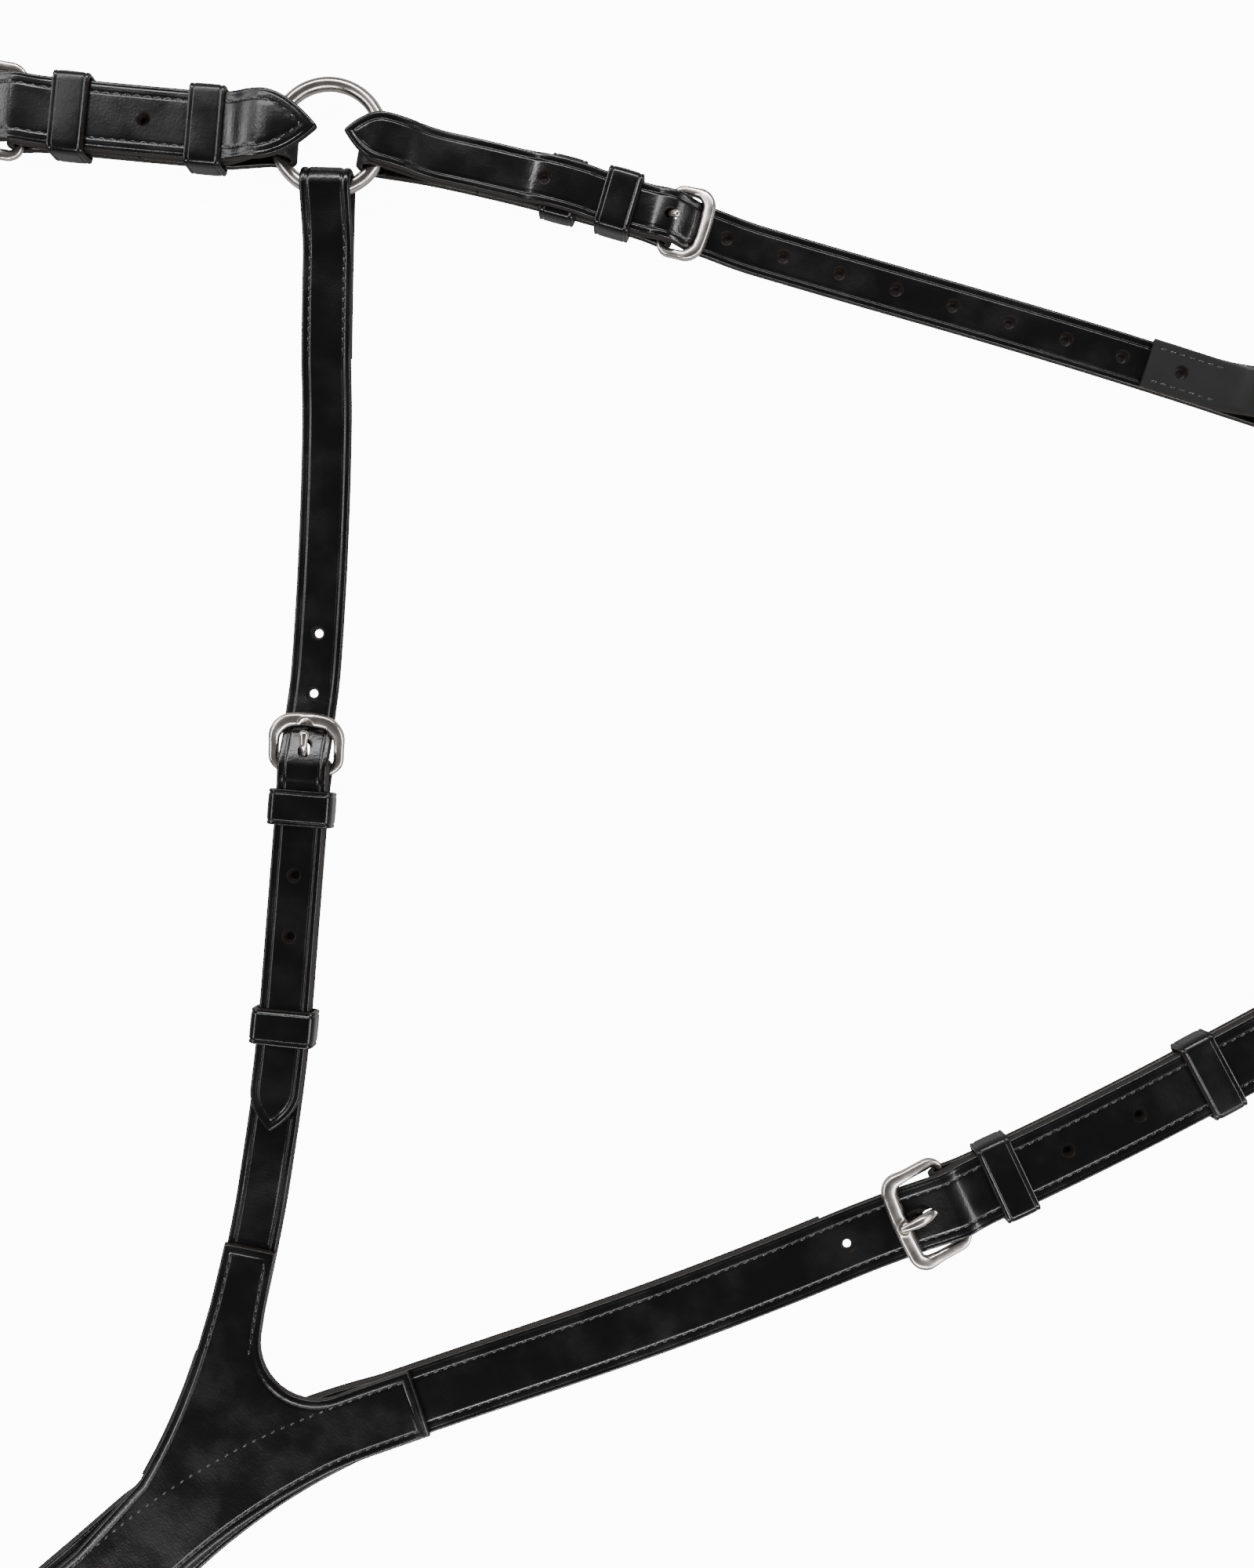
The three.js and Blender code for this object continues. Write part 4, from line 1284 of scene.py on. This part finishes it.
def stations(shop):
    """Every buckle's place: its name, course, distances, strap width and the body it is sewn to."""
    routes = shop.routes
    narrow, wide = size("narrow_width"), size("wide_width")
    return [
        ("wither", routes.wither, WITHER, wide, "harness"),
        ("saddle", routes.saddle, SADDLE, narrow, "saddle_strap"),
        ("shoulder", routes.shoulder, SHOULDER, narrow, "harness"),
        ("girth", routes.chest, GIRTH, wide, "harness"),
        ("legs", routes.legs, LEGS, wide, "legs_strap"),
    ]


def set_out(name, part, bm, material, body):
    """A piece beside a buckle: on both sides, or once between the legs."""
    if name == "legs":
        finished(f"{part}_finished", bm, material, body, part)
    else:
        both_sides(part, bm, material, body)


def make_keepers(shop):
    layers = shop.layers
    leather = leather_material("Keeper Leather", 0.18, 1700.0, 0.26)
    hidden = layers.chape_top + layers.thick / 2
    for name, route, at, width, home in stations(shop):
        for kind in ("fixed", "loose"):
            cover = hidden if (name, kind) == ("saddle", "fixed") else layers.billet_cover
            bm = keeper(route, shop.routes.ground, at[kind], width, cover)
            body = home if kind == "fixed" else f"{name}_keeper_loose"
            set_out(name, f"{name}_keeper_{kind}", bm, leather, body)


# ---------------------------------------------------------------- metal pieces
def squared(angle, power=2.6):
    """A point on a rounded-square section of unit size."""
    c, s = math.cos(angle), math.sin(angle)
    reach = (abs(c) ** power + abs(s) ** power) ** (-1 / power)
    return c * reach, s * reach


def make_rings(shop):
    radius, wire = size("ring_radius"), size("ring_wire")
    spots = [("right_wither_ring", shop.routes.ring), ("chest_ring", shop.routes.chest_ring)]
    around, section = 96, 28
    for name, centre in spots:

        def place(i, j):
            turn, angle = 2 * math.pi * i / around, 2 * math.pi * j / section
            reach = radius + wire * math.cos(angle)
            spot = (centre.x + reach * math.cos(turn), centre.y + reach * math.sin(turn),
                    centre.z + wire * math.sin(angle))
            return spot, 0, 0, 1

        bm = weave(around + 1, section + 1, place)
        if name == "chest_ring":
            finished("chest_ring_finished", bm, metal_material(), "chest_ring", "chest_ring")
        else:
            both_sides("wither_ring", bm, metal_material(), "wither_ring")


# A tongue is drawn from the side, (along, height over the heel bar's middle, radius), from its eye to its tip.
LONG_TONGUE = [(0.8, 2.1, 1.1), (3.5, 3.0, 1.2), (7.6, 3.9, 1.4), (9.6, 5.2, 1.65), (12.0, 6.2, 1.85),
               (14.5, 6.7, 1.7), (17.2, 6.8, 1.25), (19.0, 6.5, 0.95)]
ROUND_TONGUE = [(0.8, 2.1, 1.1), (3.4, 3.0, 1.2), (5.8, 4.2, 1.3), (7.4, 5.6, 1.25), (9.4, 6.2, 1.3),
                (11.4, 6.2, 1.7)]
STUB_TONGUE = [(0.8, 2.2, 1.1), (1.4, 4.4, 1.15), (2.0, 6.2, 1.2), (3.6, 7.2, 1.35)]

# Frame of each buckle: span, bow of the front bar, widths of side and front bars, outer corner, clearance.
BUCKLES = {
    "wither": (WIDE_SPAN, 0.9, 3.5, 4.8, 3.8, 1.2, LONG_TONGUE),
    "saddle": (SHORT_SPAN, 0.9, 2.9, 4.0, 4.2, 0.9, STUB_TONGUE),
    "shoulder": (NARROW_SPAN, 1.7, 3.3, 4.5, 5.0, 0.8, ROUND_TONGUE),
    "girth": (WIDE_SPAN, 0.9, 3.6, 4.9, 3.4, 1.3, LONG_TONGUE),
    "legs": (WIDE_SPAN, 0.9, 3.6, 4.9, 3.4, 1.3, LONG_TONGUE),
}


class Buckle:
    """Where a buckle is set, with x from its heel bar to its front bar."""

    def __init__(self, shop, name, route, at, width):
        x, y, heading = route(at["heel"])
        self.origin = Vector((x, y, shop.layers.bar + shop.routes.ground))
        self.heading = heading if at["front"] > 0 else heading + math.pi
        self.width, self.bar_radius, self.dished = width, shop.layers.bar_radius, name != "saddle"
        self.span, self.bow, self.side, self.front, self.corner, self.clear, self.tongue = BUCKLES[name]

    def set_down(self, x, y, z, tilted=True):
        if tilted:
            x, z = x * math.cos(TILT) - z * math.sin(TILT), x * math.sin(TILT) + z * math.cos(TILT)
        turn = Vector((x * math.cos(self.heading) - y * math.sin(self.heading),
                       x * math.sin(self.heading) + y * math.cos(self.heading), z))
        return self.origin + turn

    def frame_mesh(self):
        """A closed bar: thin at the heel, flattened at the sides, wide and bowed at the front."""
        half = self.width / 2 + self.clear + self.side / 2
        line = dense(rounded_box(0, self.span, half, self.corner), 0.55)
        for point in line:
            share = min(1, max(0, point.x / self.span)) ** 4
            point.x += share * self.bow * (1 - (point.y / half) ** 2)
        ways = outward(line)
        section = 40

        def place(i, j):
            angle = 2 * math.pi * j / section
            across, up = squared(angle)
            along = min(1, max(0, line[i].x / self.span))
            share = max(0.0, (along - 0.55) / 0.45)
            front = share**2 * (3 - 2 * share)
            heel = max(0.0, 1 - along * 5)
            thick = (self.side + (self.front - self.side) * front - 1.1 * heel) / 2
            spot = line[i] + ways[i] * across * thick
            z = up * (1.35 + 0.3 * front - 0.1 * heel)
            if self.dished and front > 0.5 and z > 0:
                z += self.recess(spot)
            return self.set_down(spot.x, spot.y, z), 0, 0, 1

        return weave(len(line), section + 1, place)

    def recess(self, spot):
        """The dish in the front bar that the tongue's tip rests in, with its raised rim."""
        away = math.hypot((spot.x - self.span - 0.2) / 2.3, spot.y / 2.2)
        dish = -0.7 * (1 - away**2) ** 2 if away < 1 else 0.0
        return dish + 0.22 * math.exp(-(((away - 1.12) / 0.2) ** 2))

    def tongue_mesh(self):
        """A tapered tongue with a rounded tip, hung on the heel bar by its eye."""
        knots = self.tongue
        points = spaced(eased([(x, z) for x, z, _ in knots], 2.0), (), coarse=0.5)
        radius = tapered([(x, r) for x, _, r in knots])
        rows = [(p, radius(p.x)) for p in points]
        way = (points[-1] - points[-2]).normalized()
        tip = knots[-1][2]
        for turn in range(1, 7):
            angle = math.radians(15 * turn)
            rows.append((points[-1] + way * tip * math.sin(angle), tip * max(0.02, math.cos(angle))))
        section = 20

        def place(i, j):
            point, thick = rows[i]
            before, after = rows[max(i - 1, 0)][0], rows[min(i + 1, len(rows) - 1)][0]
            run = (after - before).normalized()
            angle = 2 * math.pi * j / section
            lift = 0.82 * thick * math.sin(angle)
            spot = self.set_down(point.x - run.y * lift, thick * math.cos(angle), point.y + run.x * lift, False)
            return spot, 0, 0, 1

        return joined([weave(len(rows), section + 1, place), self.eye_mesh()])

    def eye_mesh(self):
        ring, section = 30, 12

        def place(i, j):
            turn, angle = 2 * math.pi * i / ring, 2 * math.pi * j / section
            reach = self.bar_radius + 0.8 + 0.62 * math.cos(angle)
            spot = self.set_down(reach * math.cos(turn), 1.8 * math.sin(angle), reach * math.sin(turn), False)
            return spot, 0, 0, 1

        return weave(ring + 1, section + 1, place)


def make_buckles(shop):
    metal = metal_material()
    for name, route, at, width, home in stations(shop):
        buckle = Buckle(shop, name, route, at, width)
        set_out(name, f"{name}_buckle", buckle.frame_mesh(), metal, home)
        set_out(name, f"{name}_tongue", buckle.tongue_mesh(), metal, f"{name}_tongue")


# ---------------------------------------------------------------- stage
def make_stage():
    """A pale floor, strips of soft light all round it, and a camera straight above."""
    bm = bmesh.new()
    bmesh.ops.create_grid(bm, x_segments=1, y_segments=1, size=FLOOR_SIZE)
    floor = as_object("studio_floor", bm)
    material, tree, shader = new_material("Pale Floor")
    shader.inputs["Base Color"].default_value = colour("floor")
    shader.inputs["Roughness"].default_value = 0.9
    shader.inputs["Emission Color"].default_value = (1, 1, 1, 1)
    # The floor looks like bright paper, but lights the undersides only softly.
    seen = tree.nodes.new("ShaderNodeLightPath").outputs["Is Camera Ray"]
    glow = tree.nodes.new("ShaderNodeMapRange")
    glow.inputs["To Min"].default_value = FLOOR_GLOW
    glow.inputs["To Max"].default_value = FLOOR_SEEN
    tree.links.new(seen, glow.inputs["Value"])
    tree.links.new(glow.outputs["Result"], shader.inputs["Emission Strength"])
    floor.data.materials.append(material)

    world = bpy.data.worlds.new("Studio")
    world.use_nodes = True
    world.node_tree.nodes["Background"].inputs["Color"].default_value = (1, 1, 1, 1)
    world.node_tree.nodes["Background"].inputs["Strength"].default_value = 0.12
    bpy.context.scene.world = world

    target = Vector((0.27, 0.29, 0.0))
    # Azimuth, elevation, length, width and power of each strip of light.
    lamps = [
        (178, 42, 1.3, 0.14, 10), (112, 40, 1.1, 0.14, 14),
        (76, 40, 1.1, 0.14, 14), (356, 38, 1.3, 0.14, 14),
        (292, 38, 1.1, 0.14, 12), (256, 38, 1.1, 0.14, 12),
        (150, 24, 1.0, 0.2, 6), (330, 24, 1.0, 0.2, 6),
    ]
    for k, (azimuth, elevation, long, wide, power) in enumerate(lamps):
        light = bpy.data.lights.new(f"softbox_{k}", "AREA")
        light.shape = "RECTANGLE"
        light.size, light.size_y = long, wide
        light.energy = power
        lamp = bpy.data.objects.new(f"softbox_{k}", light)
        bpy.context.scene.collection.objects.link(lamp)
        turn, lift = math.radians(azimuth), math.radians(elevation)
        level = math.cos(lift)
        away = Vector((math.cos(turn) * level, math.sin(turn) * level, math.sin(lift)))
        lamp.location = target + away * LAMP_AWAY
        lamp.rotation_euler = away.to_track_quat("Z", "Y").to_euler()

    lens = bpy.data.cameras.new("camera")
    lens.lens = LENS
    lens.sensor_width = SENSOR
    lens.clip_start = 0.01
    camera = bpy.data.objects.new("camera", lens)
    camera.location = CAMERA_PLACE
    bpy.context.scene.collection.objects.link(camera)
    bpy.context.scene.camera = camera


# ---------------------------------------------------------------- panel and operators
def length(name, description, default):
    return FloatProperty(name=name, description=description, default=default * MM, unit="LENGTH", min=0.0)


def paint(name, description, default):
    return FloatVectorProperty(
        name=name, description=description, default=default, subtype="COLOR", min=0, max=1
    )


class BreastplateSizes(bpy.types.PropertyGroup):
    """Sizes that a saddler would choose."""

    leather_thick: length("Leather", "Thickness of the straps", 2.2)
    keeper_thick: length("Keeper leather", "Thickness of the keepers", 1.4)
    keeper_long: length("Keeper length", "Length of a keeper along its strap", 11.5)
    narrow_width: length("Narrow strap", "Width of the saddle and shoulder straps", 16)
    wide_width: length("Wide strap", "Width of the wither, girth and between-legs straps", 22)
    chest_width: length("Chest strap", "Width of the chest strap at its widest", 34)
    overlay_width: length("Overlay", "Width of the forked overlay at its widest", 28)
    arm_width: length("Overlay arm", "Width of the overlay's shoulder arm at its top", 16.5)
    fold_width: length("Fold", "Width of a wide strap where it folds round a ring", 17)
    crook_radius: length("Crook", "Radius between the overlay's two arms", 18)
    ring_radius: length("Ring", "Radius of a ring's centre line", 17)
    ring_wire: length("Ring wire", "Radius of the rings' wire", 2.25)
    hole_radius: length("Hole", "Radius of the punched holes", 2)
    stitch_pitch: length("Stitch pitch", "Distance from stitch to stitch", 3.3)
    stitch_long: length("Stitch", "Length of a stitch that shows", 2.1)
    thread_thick: length("Thread", "Thickness of the thread", 0.8)


class BreastplateColours(bpy.types.PropertyGroup):
    """Colours of the leather, the thread, the metal and the floor."""

    leather: paint("Leather", "Colour of the polished leather", (0.0022, 0.0021, 0.0022))
    leather_worn: paint("Dull leather", "Colour where the polish is dull", (0.0034, 0.0032, 0.0033))
    leather_rim: paint("Rim", "Colour of the rubbed rim", (0.012, 0.009, 0.0075))
    thread: paint("Thread", "Colour of the thread", (0.003, 0.003, 0.003))
    # Painted highlight: the lighter colour of the thread's raised strands.
    thread_strand_highlight: paint("Thread twist", "Colour of the thread's raised strands", (0.03, 0.03, 0.031))
    # Painted shade: the near-black colour of the discs that stand for the shade in the needle holes.
    needle_hole_shade: paint("Needle holes", "Colour in the holes between the stitches", (0.0006, 0.0006, 0.0006))
    metal: paint("Metal", "Colour of the polished metal", (0.6, 0.55, 0.515))
    metal_dull: paint("Dull metal", "Colour where the metal is hazed", (0.48, 0.44, 0.41))
    floor: paint("Floor", "Colour of the floor", (0.3, 0.3, 0.3))


class RingsOperator(bpy.types.Operator):
    """Make the three rings"""

    bl_idname = "breastplate.rings"
    bl_label = "Rings"

    def execute(self, context):
        make_rings(Shop())
        return {"FINISHED"}


class WitherOperator(bpy.types.Operator):
    """Make the wither strap and its two chapes"""

    bl_idname = "breastplate.wither"
    bl_label = "Wither Strap"

    def execute(self, context):
        make_wither(Shop())
        return {"FINISHED"}


class SaddleOperator(bpy.types.Operator):
    """Make the saddle straps and their chapes"""

    bl_idname = "breastplate.saddle"
    bl_label = "Saddle Straps"

    def execute(self, context):
        make_saddle(Shop())
        return {"FINISHED"}


class ShoulderOperator(bpy.types.Operator):
    """Make the shoulder straps and their chapes"""

    bl_idname = "breastplate.shoulder"
    bl_label = "Shoulder Straps"

    def execute(self, context):
        make_shoulder(Shop())
        return {"FINISHED"}


class ChestOperator(bpy.types.Operator):
    """Make the chest straps and their lining"""

    bl_idname = "breastplate.chest"
    bl_label = "Chest Straps"

    def execute(self, context):
        make_chest(Shop())
        return {"FINISHED"}


class OverlayOperator(bpy.types.Operator):
    """Make the forked overlays on the chest straps"""

    bl_idname = "breastplate.overlay"
    bl_label = "Overlays"

    def execute(self, context):
        make_overlay(Shop())
        return {"FINISHED"}


class GirthOperator(bpy.types.Operator):
    """Make the girth chapes with their loops"""

    bl_idname = "breastplate.girth"
    bl_label = "Girth Loops"

    def execute(self, context):
        make_girth(Shop())
        return {"FINISHED"}


class LegsOperator(bpy.types.Operator):
    """Make the between-legs strap and its loop"""

    bl_idname = "breastplate.legs"
    bl_label = "Between-Legs Strap"

    def execute(self, context):
        make_legs(Shop())
        return {"FINISHED"}


class KeepersOperator(bpy.types.Operator):
    """Make every keeper"""

    bl_idname = "breastplate.keepers"
    bl_label = "Keepers"

    def execute(self, context):
        make_keepers(Shop())
        return {"FINISHED"}


class BucklesOperator(bpy.types.Operator):
    """Make every buckle and tongue"""

    bl_idname = "breastplate.buckles"
    bl_label = "Buckles"

    def execute(self, context):
        make_buckles(Shop())
        return {"FINISHED"}


class StageOperator(bpy.types.Operator):
    """Set the floor, the lights and the camera"""

    bl_idname = "breastplate.stage"
    bl_label = "Stage"

    def execute(self, context):
        make_stage()
        return {"FINISHED"}


OPERATORS = (
    RingsOperator, WitherOperator, SaddleOperator, ShoulderOperator, ChestOperator, OverlayOperator,
    GirthOperator, LegsOperator, KeepersOperator, BucklesOperator, StageOperator,
)


class BreastplatePanel(bpy.types.Panel):
    """Sizes, colours and pieces of the breastplate"""

    bl_idname = "VIEW3D_PT_breastplate"
    bl_label = "Breastplate"
    bl_space_type = "VIEW_3D"
    bl_region_type = "UI"
    bl_category = "Breastplate"

    def draw(self, context):
        for group in (context.scene.breastplate_sizes, context.scene.breastplate_colours):
            column = self.layout.column(align=True)
            for name in group.__annotations__:
                column.prop(group, name)
        for operator in OPERATORS:
            self.layout.operator(operator.bl_idname)


CLASSES = (BreastplateSizes, BreastplateColours, *OPERATORS, BreastplatePanel)


def register():
    for one in CLASSES:
        bpy.utils.register_class(one)
    bpy.types.Scene.breastplate_sizes = PointerProperty(type=BreastplateSizes)
    bpy.types.Scene.breastplate_colours = PointerProperty(type=BreastplateColours)


def unregister():
    del bpy.types.Scene.breastplate_colours
    del bpy.types.Scene.breastplate_sizes
    for one in reversed(CLASSES):
        bpy.utils.unregister_class(one)


def main():
    register()
    bpy.ops.breastplate.rings()
    bpy.ops.breastplate.wither()
    bpy.ops.breastplate.saddle()
    bpy.ops.breastplate.shoulder()
    bpy.ops.breastplate.chest()
    bpy.ops.breastplate.overlay()
    bpy.ops.breastplate.girth()
    bpy.ops.breastplate.legs()
    bpy.ops.breastplate.keepers()
    bpy.ops.breastplate.buckles()
    bpy.ops.breastplate.stage()


if __name__ == "__main__":
    main()
